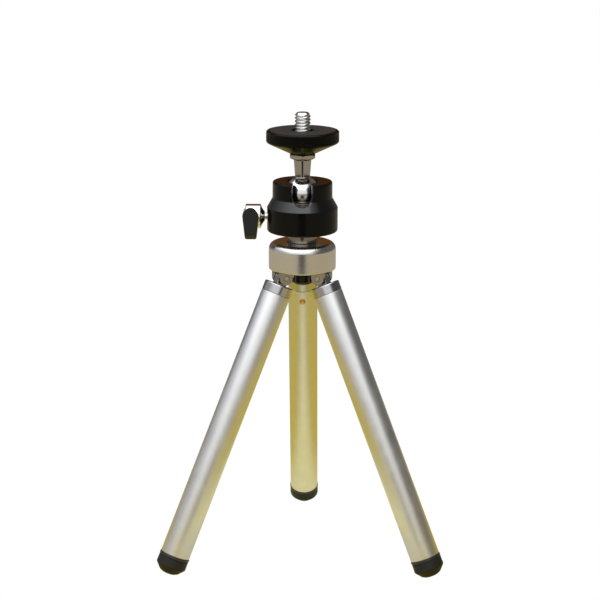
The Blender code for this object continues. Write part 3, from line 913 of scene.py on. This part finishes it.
@dataclass
class Stud:
    """Ball, stem, hexagon and camera screw, one polished piece."""

    ball: float = 7.0
    stem_low: float = 2.95
    stem_top: float = 3.5
    hex_low: float = 13.8
    hex_high: float = 15.6
    hex_flat: float = 4.95
    screw: float = 3.15
    screw_root: float = 2.55
    pitch: float = 1.27
    plain_to: float = 23.8
    tip: float = 32.1
    steps: int = 120

    def build(self) -> None:
        """Compute the radius of every row at every angle and make the piece."""
        a = np.arange(self.steps) * TAU / self.steps
        neck = math.acos(self.stem_low / self.ball)
        t = np.linspace(-math.pi / 2, neck - 0.06, 72)
        rows = [np.repeat((self.ball * np.cos(t))[:, None], self.steps, 1)]
        heights = [self.ball * np.sin(t)]
        stem = rounded([(self.ball * math.cos(neck - 0.05), self.ball * math.sin(neck - 0.05), 0),
                        (self.stem_low, self.ball * math.sin(neck) + 0.25, 0.5),
                        (self.stem_top, self.hex_low - 0.35, 0.25),
                        (self.stem_top + 0.9, self.hex_low, 0)], 6, 0.1)
        rows.append(np.repeat(stem[:, :1], self.steps, 1))
        heights.append(stem[:, 1])
        hexagon = self.hex_flat / np.cos((a + math.pi / 6) % (math.pi / 3) - math.pi / 6)
        z = np.linspace(self.hex_low, self.hex_high - 0.02, 18)
        corner = self.hex_flat / math.cos(math.pi / 6)
        cone = corner - 1.1 + (z - self.hex_low) * 1.4
        lid = corner - 0.02 - np.clip(z - self.hex_high + 0.3, 0, 1) * 1.2
        rows.append(np.minimum(hexagon[None], np.minimum(cone, lid)[:, None]))
        heights.append(z)
        z = np.linspace(self.plain_to, self.tip - 0.5, 170)
        shank = np.array([[self.hex_flat - 0.6, self.hex_high], [self.screw_root, self.hex_high],
                          [self.screw_root, self.hex_high + 0.4],
                          [self.screw - 0.05, self.hex_high + 0.8],
                          [self.screw - 0.05, self.plain_to - 0.1]])
        rows.append(np.repeat(shank[:, :1], self.steps, 1))
        heights.append(shank[:, 1])
        rows.append(self.thread(z, a))
        heights.append(z)
        end = rounded([(self.screw_root + 0.05, self.tip - 0.45, 0),
                       (self.screw_root - 0.35, self.tip, 0.2), (0.0, self.tip, 0)], 5, 0.05)
        rows.append(np.repeat(end[:, :1], self.steps, 1))
        heights.append(end[:, 1])
        maker = Maker(upright(joint("ball_front")["pos_m"]), "ball")
        grid = radial(np.concatenate(rows), np.concatenate(heights))
        maker.finish(maker.loose("ball_stud_polished", grid), STUD_CHROME, "ball_stud",
                     smooth_angle=38.0)

    def thread(self, z: np.ndarray, a: np.ndarray) -> np.ndarray:
        """Radius of a right-hand thread with rounded crests.

        The phase is height over pitch less angle over a turn; the radius follows a raised
        cosine of that phase, and fades out near the tip.

        Args:
            z: heights of the rows in millimetres.
            a: angles of the columns.

        Returns:
            Radii in millimetres, as an array (rows, columns).
        """
        phase = z[:, None] / self.pitch - a[None] / TAU
        tooth = (0.5 + 0.5 * np.cos(TAU * phase)) ** 0.8
        fade = np.clip((z[-1] - z) / 0.35, 0.0, 1.0)[:, None]
        return self.screw_root + (self.screw - self.screw_root) * tooth * (0.35 + 0.65 * fade)


@dataclass
class Platform:
    """Knurled black disc with a conical underside, and the rubber pad set into it."""

    radius: float = 14.35
    hub: float = 5.0
    cone: float = 4.3
    bore: float = 3.5
    recess: float = 13.3
    recess_depth: float = 0.8
    pad: float = 13.05
    pad_bore: float = 4.5
    pad_depth: float = 0.7
    flutes: int = 120
    depth: float = 0.10

    def build(self) -> None:
        """Make the disc and its pad."""
        low, high = (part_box("platform_disc")[i].z / MM for i in (0, 1))
        axis = joint("platform_turn")["pos_m"]
        maker = Maker(upright([axis[0], axis[1], 0.0]), "platform")
        rim_low = low + self.cone
        profile = rounded([
            (self.bore, low, 0.15), (self.hub, low, 0.3),
            (self.radius - 0.55, rim_low - 0.1, 0.5), (self.radius, rim_low + 0.45, 0.35),
            (self.radius, high - 0.5, 0.15), (self.radius - 0.5, high, 0.15),
            (self.recess, high, 0.12), (self.recess, high - self.recess_depth, 0.1),
            (self.bore, high - self.recess_depth, 0.15)], 5, 0.08, closed=True)
        profile = self.split(profile)
        steps = self.flutes * 6
        a = np.arange(steps) * TAU / steps
        groove = 0.5 - 0.5 * np.cos(a * self.flutes)
        window = np.clip((profile[:, 1] - rim_low - 0.75) / 0.35, 0, 1)
        window *= np.clip((high - 0.85 - profile[:, 1]) / 0.35, 0, 1)
        window *= (profile[:, 0] > self.radius - 0.05)
        radii = profile[:, :1] - self.depth * (groove ** 2)[None] * window[:, None]
        grid = radial(radii, profile[:, 1])
        maker.finish(maker.loose("platform_disc_knurled", grid, True), DISC_BLACK,
                     "platform_disc")
        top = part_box("platform_pad")[1].z / MM
        pad = rounded([(self.pad_bore, top - self.pad_depth, 0.1),
                       (self.pad, top - self.pad_depth, 0.1), (self.pad, top, 0.22),
                       (self.pad_bore, top, 0.22)], 5, 0.06, closed=True)
        maker.turn("platform_pad_rubber", pad, 160, PAD_RUBBER, "platform_pad", ring=True)

    def split(self, profile: np.ndarray) -> np.ndarray:
        """Add rows along the rim, so that the flutes can fade in and out.

        Args:
            profile: radii and heights in millimetres.

        Returns:
            The profile with the added rows.
        """
        made = [profile[:1]]
        for start, stop in zip(profile[:-1], profile[1:]):
            tall = abs(stop[1] - start[1]) > 1.0 and min(start[0], stop[0]) > self.radius - 0.1
            count = 12 if tall else 1
            t = np.linspace(0, 1, count + 1)[1:, None]
            made.append(start + (stop - start) * t)
        return np.concatenate(made)


@dataclass
class Housing:
    """Black turned body with a U notch for the stem, on its steel neck."""

    ring: float = 14.0
    barrel: float = 11.8
    bore: float = 8.9
    ball: float = 7.3
    mouth: float = 6.55
    lip: float = 6.05
    lip_height: float = 4.2
    step: float = 1.1
    ring_up: float = 9.7
    cone_up: float = 13.5
    neck: float = 5.7
    plug: float = 8.6
    plug_up: float = 2.6
    notch: float = 3.6
    flare: float = 0.5
    flare_from: float = 9.2
    hole: float = 2.2
    steps: int = 160

    def build(self) -> None:
        """Make the housing and the neck."""
        ball = joint("ball_front")["pos_m"]
        maker = Maker(upright(ball), "head")
        low = (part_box("head_housing")[0].z - ball[2]) / MM
        top = (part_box("head_housing")[1].z - ball[2]) / MM
        ring_top, cone_top = low + self.ring_up, low + self.cone_up
        t = np.radians(np.linspace(34.5, 8.7, 16))
        sphere = np.stack([self.ball * np.cos(t), self.ball * np.sin(t)], axis=1)
        outer = rounded([
            (self.bore, low, 0.2), (self.ring, low, 0.9), (self.ring, ring_top, 0.25),
            (self.barrel + 0.05, cone_top, 0.2), (self.barrel, top, 0.75),
            (self.mouth, top, 0.35), (self.lip, self.lip_height, 0.0)], 6, 0.1)
        wall = rounded([(self.ball * math.cos(t[-1]), self.step, 0.0),
                        (self.bore, self.step, 0.15),
                        (self.bore, low, 0.0)], 3, 0.05)
        profile = np.concatenate([outer, sphere[1:], wall[1:-1]])
        body = maker.loose("head_housing_black", revolve(profile, self.steps), True)
        tools = [(Cut.REMOVE, maker.loose("slot_tool", self.slot()))]
        lock = Maker(sideways([ball[0], ball[1], joint("lock_turn")["pos_m"][2]]), "head")
        drill = rounded([(0, -16.0, 0), (self.hole + 2.3, -16.0, 0), (self.hole, -13.6, 0),
                         (self.hole, -7.5, 0), (0, -7.5, 0)], 1)
        tools.append((Cut.REMOVE, lock.loose("drill_tool", revolve(drill, 48))))
        maker.combined(body, tools, bevel=0.04, segments=2, angle=34.0)
        maker.finish(body, HOUSING, "head_housing", smooth_angle=30.0, flat_faces=True)

        foot = (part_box("head_plug")[0].z - ball[2]) / MM
        inside, floor, nut_floor = 5.0, low + self.plug_up, foot + 3.9
        plug = rounded([
            (2.3, foot, 0.1), (self.neck, foot, 0.2), (self.neck, low + 0.1, 0.1),
            (self.plug, low + 0.1, 0.2), (self.plug, floor, 0.2), (inside, floor, 0.1),
            (inside, nut_floor, 0.1), (2.3, nut_floor, 0.1)], 4, 0.06, closed=True)
        maker.turn("head_neck", plug, 128, NECK_STEEL_SHADED, "head_plug", ring=True)

    def slot(self) -> np.ndarray:
        """The notch as a cutter: a U outline whose width grows near the outside.

        Ring k lies at depth y_k; its outline is a half ellipse below the ball's height, of
        half width w_k = notch + (depth - start) * flare, and straight sides above it.

        Returns:
            Grid of points (rings, n, 3) in metres.
        """
        depth = np.array([0.0, -self.flare_from, -16.0])
        width = self.notch + np.clip(-depth - self.flare_from, 0, None) * self.flare
        a = np.linspace(math.pi, TAU, 41)
        u = np.concatenate([[-1.0], np.cos(a), [1.0]])
        v = np.concatenate([[0.0], np.sin(a), [0.0]])
        x = width[:, None] * u[None]
        z = self.notch * v[None] + 0.0 * x
        z[:, 0] = 9.0
        z[:, -1] = 9.0
        y = np.broadcast_to(depth[:, None], x.shape)
        rings = np.stack([x, y, z], axis=-1)
        middle = np.broadcast_to(rings.mean(axis=1, keepdims=True), rings.shape)
        return np.concatenate([middle[:1], rings, middle[-1:]]) * MM


@dataclass
class Lever:
    """Chromed lock lever: a flared boss with a tapered flat arm, on its screw."""

    boss: float = 4.84
    middle: float = -20.45
    half_top: float = 3.3
    half_low: float = 2.25
    down: float = 9.1
    up: float = 3.9
    half: float = 2.9
    shank: float = 1.35
    thread_depth: float = 0.5
    thread_pitch: float = 0.7
    cutter_half: float = 2.0

    def outline(self, grow: float = 0.0) -> np.ndarray:
        """The arm's flat face: an arch over a taper, as (x, z) points.

        The arch is a half ellipse of half width half_top and height up; straight sides run
        from it to a square foot, with rounded corners.

        Args:
            grow: how far the outline is moved outward, in millimetres.

        Returns:
            Points (x, z) in millimetres.
        """
        a = np.linspace(0.0, math.pi, 37)
        top = np.stack([self.middle + (self.half_top + grow) * np.cos(a),
                        0.2 + (self.up - 0.2 + grow) * np.sin(a)], axis=1)
        foot = rounded([(self.middle - self.half_top - grow, 0.2, 0),
                        (self.middle - self.half_low - grow, -self.down - grow, 0.8),
                        (self.middle + self.half_low + grow, -self.down - grow, 0.8),
                        (self.middle + self.half_top + grow, 0.2, 0)], 6, 0.1)
        return np.concatenate([top, foot[1:-1]])

    def build(self) -> None:
        """Make the lever and its screw."""
        pos = joint("lock_turn")["pos_m"]
        centre = [0.0, pos[1], pos[2]]
        flat = Maker(upright(centre), "lock")
        turned = Maker(sideways(centre), "lock")
        side = Maker(facing(centre), "lock")
        profile = rounded([
            (0.0, -22.5, 0), (self.boss, -22.5, 0.5), (self.boss, -16.55, 0.3),
            (3.5, -16.0, 1.2), (2.4, -15.35, 1.2), (1.95, -14.93, 0.2), (0.0, -14.9, 0)],
            7, 0.08)
        knob = turned.loose("lock_lever_chrome", revolve(profile, 112))
        arm = slab(self.outline(), self.half, 0.15, 3)
        grown = self.outline(0.03)
        shave = slab(grown, self.cutter_half, 0.001, 1)
        reach = np.array([0, (self.half + self.cutter_half - 0.015) * MM, 0])
        bore = np.array([[0, -20.8], [1.65, -20.8], [1.65, -14.0], [0, -14.0]])
        flat.combined(knob, [
            (Cut.JOIN, flat.loose("arm_tool", arm)),
            (Cut.REMOVE, flat.loose("near_tool", shave - reach)),
            (Cut.REMOVE, flat.loose("far_tool", shave + reach)),
            (Cut.REMOVE, side.loose("front_tool", self.wedge(1.0))),
            (Cut.REMOVE, side.loose("rear_tool", self.wedge(-1.0))),
            (Cut.REMOVE, turned.loose("shank_tool", revolve(bore, 48)))],
            bevel=0.14, segments=3, angle=35.0)
        flat.finish(knob, LEVER_CHROME, "lock_lever", smooth_angle=30.0, flat_faces=True)

        steps = 64
        a = np.arange(steps) * TAU / steps
        shank = rounded([(0, -20.5, 0), (self.shank, -20.5, 0.1), (self.shank, -13.8, 0)], 3, 0.05)
        z = np.linspace(-13.6, -9.5, 60)
        phase = (z[:, None] / self.thread_pitch - a[None] / TAU) % 1.0
        tooth = np.clip((1.0 - np.abs(2 * phase - 1.0) - 0.1) / 0.75, 0, 1)
        fade = np.clip((z - z[0]) / 0.4, 0, 1)[:, None]
        tail = np.array([[self.shank, -9.4], [0.0, -9.35]])
        radii = np.concatenate([np.repeat(shank[:, :1], steps, 1),
                                self.shank + self.thread_depth * tooth * fade,
                                np.repeat(tail[:, :1], steps, 1)])
        heights = np.concatenate([shank[:, 1], z, tail[:, 1]])
        turned.finish(turned.loose("lock_screw_steel", radial(radii, heights)),
                      PIN_STEEL, "lock_screw")

    def wedge(self, flat: float) -> np.ndarray:
        """A wedge that bevels the arm's foot, as a prism along the row's X.

        Its sloping face meets the arm's flat at 1.9 mm above the foot and leaves 55 % of
        the thickness at the foot.

        Args:
            flat: +1 for the front flat, -1 for the rear one.

        Returns:
            Grid of points (rings, 4, 3) in metres.
        """
        knee, foot = -self.down + 1.9, -self.down - 0.6
        outline = np.array([[self.half, knee], [self.half * 0.45, foot], [9.0, foot], [9.0, knee]])
        outline[:, 0] *= flat
        return slab(outline, 8.0, 0.001, 1) + np.array([0, self.middle * MM, 0])


@dataclass
class Hub:
    """Turned hub with its hinge lugs, and the bolt that holds the head."""

    radius: float = 13.35
    height: float = 10.9
    fillet: float = 2.8
    bore: float = 2.3
    head_r: float = 2.9
    head_h: float = 5.5
    lug_r: float = 2.9
    lug_from: float = 2.1
    lug_t: float = 1.5
    below_pin: float = 2.6
    socket: float = 6.05
    socket_depth: float = 1.4
    pin: float = 1.0
    pin_half: float = 3.75
    pin_hole: float = 1.12
    bolt: float = 2.0
    bolt_up: float = 6.7
    key: float = 1.6

    def build(self) -> None:
        """Make hub, bolt and pins."""
        maker = Maker(upright(joint("head_turn")["pos_m"]), "base")
        top, low = 0.0, -self.height
        profile = rounded([
            (self.bore, low, 0.2), (self.radius, low, 0.6), (self.radius, top, self.fillet),
            (self.socket, top, 0.2), (self.socket, top - self.socket_depth, 0.1),
            (self.bore, top - self.socket_depth, 0.15)],
            10, 0.1, closed=True)
        hub = maker.loose("hub_turned", revolve(profile, 160), True)
        tools = []
        for leg in LEGS:
            local = Maker(pin_place(leg, lying=False), "base")
            a = np.linspace(math.pi, TAU, 25)
            outline = np.concatenate([
                np.stack([self.lug_r * np.cos(a), self.lug_r * np.sin(a)], axis=1),
                [[self.lug_r, self.below_pin + 1.0], [-self.lug_r, self.below_pin + 1.0]]])
            for side in (-1.0, 1.0):
                lug = slab(outline, self.lug_t / 2, 0.25, 3)
                lug = lug + np.array([0, side * (self.lug_from + self.lug_t / 2) * MM, 0])
                tools.append((Cut.JOIN, local.loose(f"lug_{leg}_{side:.0f}", lug)))
        for leg in LEGS:
            drill = Maker(pin_place(leg, lying=True), "base")
            hole = np.array([[0, -4.3], [self.pin_hole, -4.3], [self.pin_hole, 4.3], [0, 4.3]])
            tools.append((Cut.REMOVE, drill.loose(f"hole_{leg}", revolve(hole, 32))))
            end = rounded([(0, -self.pin_half, 0), (self.pin, -self.pin_half, 0.15),
                           (self.pin, self.pin_half, 0.15), (0, self.pin_half, 0)], 3, 0.05)
            drill.turn(f"hinge_pin_{leg}_steel", end, 40, PIN_STEEL, f"hinge_pin_{leg}")
        maker.combined(hub, tools, bevel=0.12, segments=2, angle=38.0)
        maker.finish(hub, HUB_METAL, "hub", smooth_angle=30.0, flat_faces=True)

        head = low - 0.3
        bolt = rounded([
            (0, head - self.head_h, 0), (self.head_r, head - self.head_h, 0.4),
            (self.head_r, head, 0.15), (self.bolt, head, 0.1),
            (self.bolt, top + self.bolt_up, 0.3), (0, top + self.bolt_up, 0)], 5, 0.08)
        screw = maker.loose("hub_bolt_black", revolve(bolt, 96))
        a = np.arange(6) * TAU / 6
        key = np.stack([self.key * np.cos(a), self.key * np.sin(a)], axis=1)
        face = head - self.head_h
        rows = np.stack([np.concatenate([key, np.full((6, 1), h)], axis=1)
                         for h in (face - 1.0, face + 2.4)])
        start = np.broadcast_to(rows[:1].mean(axis=1, keepdims=True), (1, 6, 3))
        end = np.broadcast_to(np.array([[[0, 0, face + 2.6]]]), (1, 6, 3))
        rows = np.concatenate([start, rows, end])
        maker.combined(screw, [(Cut.REMOVE, maker.loose("key_tool", rows * MM))],
                       bevel=0.1, segments=2, angle=38.0)
        maker.finish(screw, BOLT_BLACK, "hub_bolt", smooth_angle=30.0)


@dataclass
class Leg:
    """One leg: chrome cap, outer and inner tube, bushing, rivet and rubber foot."""

    label: str
    tube: float = 5.9
    bore: float = 5.2
    cap_face: float = 3.2
    band: float = 3.65
    inner: float = 4.3
    inner_bore: float = 3.6
    tongue_half: float = 1.8
    tongue_r: float = 2.2
    gap: float = 0.08
    clearance: float = 0.3
    spigot: float = 4.9
    spigot_down: float = 10.5
    lip: float = 6.1
    bush_bore: float = 4.6
    pin_hole: float = 1.12
    rivet_down: float = 5.0

    def build(self) -> None:
        """Make the pieces of this leg in its own frame."""
        place = leg_place(self.label)
        upper = Maker(place, f"leg_{self.label}")
        lower = Maker(place, f"leg_{self.label}_lower")
        tube_top = -(self.cap_face + self.band + self.clearance)
        tube_low = tube_top - self.length()
        self.cap(upper, tube_top)
        self.outer_tube(upper, tube_top, tube_low)
        lip = tube_low - self.clearance
        ring = rounded([
            (self.bush_bore, lip - 0.9, 0.1), (self.lip, lip - 0.9, 0.25),
            (self.lip, lip + 0.22, 0.12), (self.spigot, lip + 0.22, 0.05),
            (self.spigot, lip + 10.0, 0.15), (self.bush_bore, lip + 10.0, 0.1)],
            4, 0.05, closed=True)
        upper.turn(f"leg_bushing_{self.label}_nylon", ring, 112, BUSH_NYLON,
                   f"leg_bushing_{self.label}", ring=True)
        foot = lip - 1.2
        wall = rounded([
            (self.inner_bore, foot - 2.0, 0.1), (self.inner, foot - 2.0, 0.1),
            (self.inner, tube_top - 16.0, 0.15), (self.inner_bore, tube_top - 16.0, 0.1)],
            3, 0.05, closed=True)
        lower.turn(f"leg_inner_{self.label}_tube", wall, 96, INNER_TUBE,
                   f"leg_inner_{self.label}", ring=True)
        self.foot(lower, foot)

    def length(self) -> float:
        """Length of the outer tube, from the height of its solid.

        Returns:
            The length in millimetres.
        """
        low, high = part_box(f"leg_outer_{self.label}")
        lean = -joint(f"leg_extend_{self.label}")["axis"][2]
        return ((high.z - low.z) / MM - 2 * self.tube * math.sqrt(1 - lean ** 2)) / lean

    def cap(self, upper: Maker, tube_top: float) -> None:
        """Chrome cap: a turned band and spigot with the hinge tongue standing on it.

        Args:
            upper: maker of the pieces that fold.
            tube_top: height of the tube's upper end in millimetres.
        """
        face = -self.cap_face
        band = tube_top + self.gap
        profile = rounded([
            (0, face - self.spigot_down, 0), (self.spigot, face - self.spigot_down, 0.5),
            (self.spigot, band, 0.05),
            (self.tube, band, 0.18), (self.tube, face, 0.55), (0, face, 0)], 6, 0.08)
        body = upper.loose(f"leg_cap_{self.label}_chrome", revolve(profile, 128))
        a = np.linspace(0, math.pi, 33)
        outline = np.concatenate([
            np.stack([self.tongue_r * np.cos(a), self.tongue_r * np.sin(a)], axis=1),
            [[-self.tongue_r, face - 1.0], [self.tongue_r, face - 1.0]]])
        tongue = slab(outline, self.tongue_half, 0.2, 3)
        lying = Place(upper.place.origin, np.stack(
            [upper.place.axes[:, 2], upper.place.axes[:, 0], upper.place.axes[:, 1]], axis=1))
        hole = np.array([[0, -3.0], [self.pin_hole, -3.0], [self.pin_hole, 3.0], [0, 3.0]])
        upper.combined(body, [
            (Cut.JOIN, upper.loose("tongue_tool", tongue)),
            (Cut.REMOVE, Maker(lying, "base").loose("pin_tool", revolve(hole, 32)))],
            bevel=0.1, segments=2, angle=38.0)
        upper.finish(body, CAP_CHROME, f"leg_cap_{self.label}", smooth_angle=30.0,
                     flat_faces=True)

    def outer_tube(self, upper: Maker, tube_top: float, tube_low: float) -> None:
        """Outer tube with its drilled hole, and the rivet that holds the cap.

        Args:
            upper: maker of the pieces that fold.
            tube_top: height of the tube's upper end in millimetres.
            tube_low: height of its lower end.
        """
        wall = rounded([
            (self.bore, tube_low, 0.1), (self.tube, tube_low, 0.18), (self.tube, tube_top, 0.18),
            (self.bore, tube_top, 0.1)], 4, 0.06, closed=True)
        tube = upper.loose(f"leg_outer_{self.label}_tube", revolve(wall, 128), True)
        axes = upper.place.axes
        seat = upper.place.out(np.array([[0, 0, (tube_top - self.rivet_down) * MM]]))[0]
        side = Place(seat, np.stack([axes[:, 2], axes[:, 1], -axes[:, 0]], axis=1))
        driller = Maker(side, upper.body)
        hole = np.array([[0, 3.0], [1.1, 3.0], [1.1, 8.0], [0, 8.0]])
        upper.combined(tube, [(Cut.REMOVE, driller.loose("rivet_tool", revolve(hole, 32)))])
        upper.finish(tube, TUBE, f"leg_outer_{self.label}", smooth_angle=30.0)
        head = rounded([
            (0, 3.8, 0), (0.8, 3.8, 0.1), (0.8, self.tube - 0.05, 0.02),
            (1.25, self.tube - 0.05, 0.02), (1.25, self.tube + 0.2, 0.15),
            (0.75, self.tube + 0.62, 0.4), (0, self.tube + 0.7, 0)], 4, 0.03)
        driller.turn(f"cap_rivet_{self.label}_brass", head, 40, RIVET_BRASS,
                     f"cap_rivet_{self.label}")

    def foot(self, lower: Maker, foot: float) -> None:
        """Rubber foot: a short barrel, a broad bevel and a slightly domed tip.

        Args:
            lower: maker of the pieces that slide.
            foot: height of the inner tube's end in millimetres.
        """
        shoulder = foot - 3.2
        tip = shoulder - 3.2
        pad = rounded([
            (0, foot - 2.3, 0), (4.6, foot - 2.3, 0.1), (4.6, foot + 0.15, 0.05),
            (6.0, foot + 0.15, 0.2), (6.05, shoulder, 0.9), (3.9, shoulder - 2.4, 0.8),
            (2.5, tip + 0.12, 1.0), (0, tip, 0)], 8, 0.08)
        lower.turn(f"foot_{self.label}_rubber", pad, 128, FOOT_RUBBER, f"foot_{self.label}")


class Hidden:
    """Solids inside the head and tubes, which keep their shape and get a finish."""

    finishes: dict[str, Finish] = {
        "pan_washer": NYLON, "friction_cup": GREY_NYLON, "pressure_seat": SEAT_BRASS,
        "wedge_pin": HIDDEN_STEEL, "hub_nut": HIDDEN_STEEL,
        "inner_guide_back": NYLON, "inner_guide_left": NYLON, "inner_guide_right": NYLON}

    def build(self) -> None:
        """Dress each of them."""
        for name, finish in self.finishes.items():
            obj = frame["nodes"][name]
            obj.data.materials.clear()
            obj.data.materials.append(finish.material())
            log.info("%-24s keeps its solid", name)


# ---------------------------------------------------------------- stage, light and camera


WHITE = (1.0, 1.0, 1.0, 1.0)
# Glow colours of the floor for rays other than the camera's, all painted light: reflection and
# bounce light of a warm mat, a greyer patch of painted shade and a dark lane of painted reflection
# in front.
MAT_MIDDLE = (0.78, 0.72, 0.36, 1.0)
MAT_YELLOW = (0.56, 0.44, 0.075, 1.0)
MAT_GREY = (0.60, 0.56, 0.42, 1.0)
FLOOR_BEIGE = (0.45, 0.39, 0.295, 1.0)
FLOOR_MATT = (0.40, 0.40, 0.40, 1.0)
LANE_DARK = (0.027, 0.028, 0.025, 1.0)
ROOM_COOL = (0.40, 0.41, 0.44, 1.0)
ROOM_DIM = (0.09, 0.09, 0.085, 1.0)
ROOM_FRONT = (0.93, 0.935, 0.94, 1.0)
WALL_BROWN = (0.125, 0.052, 0.016, 1.0)
WALL_GREY = (0.11, 0.11, 0.115, 1.0)
SOFT_LIGHT = (2.4, 2.45, 2.55, 1.0)


@dataclass
class Studio:
    """Pale floor, soft overhead light and the camera."""

    distance: float = 0.750
    height: float = 0.2935
    focal: float = 115.9
    pitch: float = 14.04
    azimuth: float = 1.11
    roll: float = 0.18
    shift_x: float = -0.00357
    floor_clear: float = 0.95
    floor_glow: float = 0.80

    def build(self) -> None:
        """Make floor, surroundings and camera."""
        self.floor()
        self.surroundings()
        self.camera()
        bpy.context.scene.view_settings.view_transform = "Standard"

    def floor(self) -> None:
        """A wide plane: pale where it is looked at; to other rays it glows warm, as painted
        reflection and bounce light for the metal.
        """
        t = np.linspace(-1.6, 1.6, 9)
        x, y = np.meshgrid(t, t, indexing="ij")
        points = np.stack([x, y, np.full_like(x, -0.0002)], axis=-1).reshape(-1, 3)
        n = len(t)
        r, c = np.meshgrid(np.arange(n - 1), np.arange(n - 1), indexing="ij")
        faces = np.stack([r * n + c, (r + 1) * n + c, (r + 1) * n + c + 1, r * n + c + 1], axis=-1)
        mesh = bpy.data.meshes.new("floor")
        mesh.from_pydata(points.tolist(), [], faces.reshape(-1, 4).tolist())
        obj = bpy.data.objects.new("floor", mesh)
        bpy.context.scene.collection.objects.link(obj)
        mesh.materials.append(self.floor_material())

    def floor_material(self) -> bpy.types.Material:
        """White and partly clear to the camera, so that feet pushed below it stay in sight.

        To other rays it glows as painted light: a warm mat with a greyer patch of painted
        shade, then beige, and a dark lane in front as a painted reflection; the metal mirrors
        these colours and takes bounce light from them.

        Returns:
            The material.
        """
        made = bpy.data.materials.new("floor_pale")
        made.use_nodes = True
        tree = made.node_tree
        tree.nodes.clear()
        b = Bench(tree)
        out = b.add("ShaderNodeOutputMaterial")
        x, y, _ = b.split(b.add("ShaderNodeTexCoord").outputs["Object"])
        aside = b.math("ABSOLUTE", x)
        reach = b.math("SQRT", b.plus(b.times(x, x), b.times(y, y)))
        # Painted light for other rays: the mat's glow, a greyer patch of painted shade near the
        # middle and a dark lane of painted reflection in front.
        near = b.blend(b.span(aside, 0.006, 0.05), MAT_MIDDLE, MAT_YELLOW)
        painted_shade_patch = b.times(b.span(aside, 0.012, 0.020), b.span(aside, 0.030, 0.048, 1.0, 0.0))
        painted_shade_patch = b.times(painted_shade_patch, b.span(y, -0.012, 0.012, 1.0, 0.0))
        mat = b.blend(b.span(reach, 0.24, 0.46), b.blend(painted_shade_patch, near, MAT_GREY), FLOOR_BEIGE)
        lane = b.math("DIVIDE", aside, b.plus(reach, 0.001))
        dark = b.times(b.span(lane, 0.15, 0.24, 1.0, 0.0), b.span(y, -0.20, -0.12, 1.0, 0.0))
        glow = b.plain("ShaderNodeEmission", b.blend(dark, mat, LANE_DARK))
        matt = b.add("ShaderNodeAddShader")
        b.feed(matt.inputs[0], b.plain("ShaderNodeEmission", WHITE, self.floor_glow))
        b.feed(matt.inputs[1], b.plain("ShaderNodeBsdfDiffuse", FLOOR_MATT))
        pale = b.add("ShaderNodeMixShader")
        pale.inputs[0].default_value = self.floor_clear
        b.feed(pale.inputs[1], matt.outputs[0])
        b.feed(pale.inputs[2], b.add("ShaderNodeBsdfTransparent").outputs[0])
        b.close(out, glow, pale.outputs[0])
        return made

    def surroundings(self) -> None:
        """A room in the world shader: a broad soft light above and in front.

        The light covers directions above the horizon that don't point far right or far
        back; the right is dim, the back is a warm brown, and the camera sees white.
        """
        world = bpy.data.worlds.new("studio")
        bpy.context.scene.world = world
        world.use_nodes = True
        tree = world.node_tree
        tree.nodes.clear()
        b = Bench(tree)
        out = b.add("ShaderNodeOutputWorld")
        x, y, z = b.split(b.add("ShaderNodeTexCoord").outputs["Generated"])
        side = b.blend(b.span(x, -0.6, 0.55), ROOM_COOL, ROOM_DIM)
        front = b.times(b.span(x, -1.0, -0.45), b.span(x, 0.42, 0.80, 1.0, 0.0))
        front = b.times(front, b.span(z, -0.02, 0.16))
        side = b.blend(b.times(front, b.span(y, -0.5, 0.1, 1.0, 0.0)), side, ROOM_FRONT)
        wall = b.blend(b.span(b.math("ABSOLUTE", x), 0.22, 0.45), WALL_BROWN, WALL_GREY)
        back = b.blend(b.span(y, 0.15, 0.75), side, wall)
        lift = b.math("MAXIMUM", z, 0.02)
        across, along = b.math("DIVIDE", x, lift), b.math("DIVIDE", y, lift)
        light = b.times(b.span(across, -2.3, 0.3), b.span(across, 0.45, 0.62, 1.0, 0.0))
        light = b.times(light, b.span(along, -1.75, -1.25))
        light = b.times(light, b.span(along, 0.3, 0.9, 1.0, 0.0))
        light = b.times(light, b.span(z, 0.0, 0.1))
        glow = b.plain("ShaderNodeBackground", b.blend(light, back, SOFT_LIGHT), 1.0)
        b.close(out, glow, b.plain("ShaderNodeBackground", WHITE))

    def camera(self) -> None:
        """A long lens in front of the head's axis, looking slightly down."""
        axis_y = joint("head_turn")["pos_m"][1]
        turn, tilt, roll = (math.radians(v) for v in (self.azimuth, self.pitch, self.roll))
        ahead = np.array([-math.sin(turn) * math.cos(tilt), math.cos(turn) * math.cos(tilt),
                          -math.sin(tilt)])
        right = np.array([math.cos(turn), math.sin(turn), 0.0])
        up = np.cross(right, ahead)
        right, up = (right * math.cos(roll) + up * math.sin(roll),
                     up * math.cos(roll) - right * math.sin(roll))
        spot = np.array([self.distance * math.sin(turn), axis_y - self.distance * math.cos(turn),
                         self.height])
        data = bpy.data.cameras.new("camera")
        data.lens = self.focal
        data.sensor_width = 36.0
        data.shift_x = self.shift_x
        data.clip_start = 0.05
        data.clip_end = 10.0
        data.dof.use_dof = False
        obj = bpy.data.objects.new("camera", data)
        bpy.context.scene.collection.objects.link(obj)
        columns = np.stack([right, up, -ahead], axis=1)
        matrix = np.eye(4)
        matrix[:3, :3] = columns
        matrix[:3, 3] = spot
        obj.matrix_world = Matrix(matrix.tolist())
        bpy.context.scene.camera = obj


def main() -> None:
    """Build the studio and every sub-assembly."""
    Studio().build()
    Hub().build()
    for label in LEGS:
        Leg(label).build()
    Housing().build()
    Lever().build()
    Stud().build()
    Platform().build()
    Hidden().build()


if __name__ == "__main__":
    main()
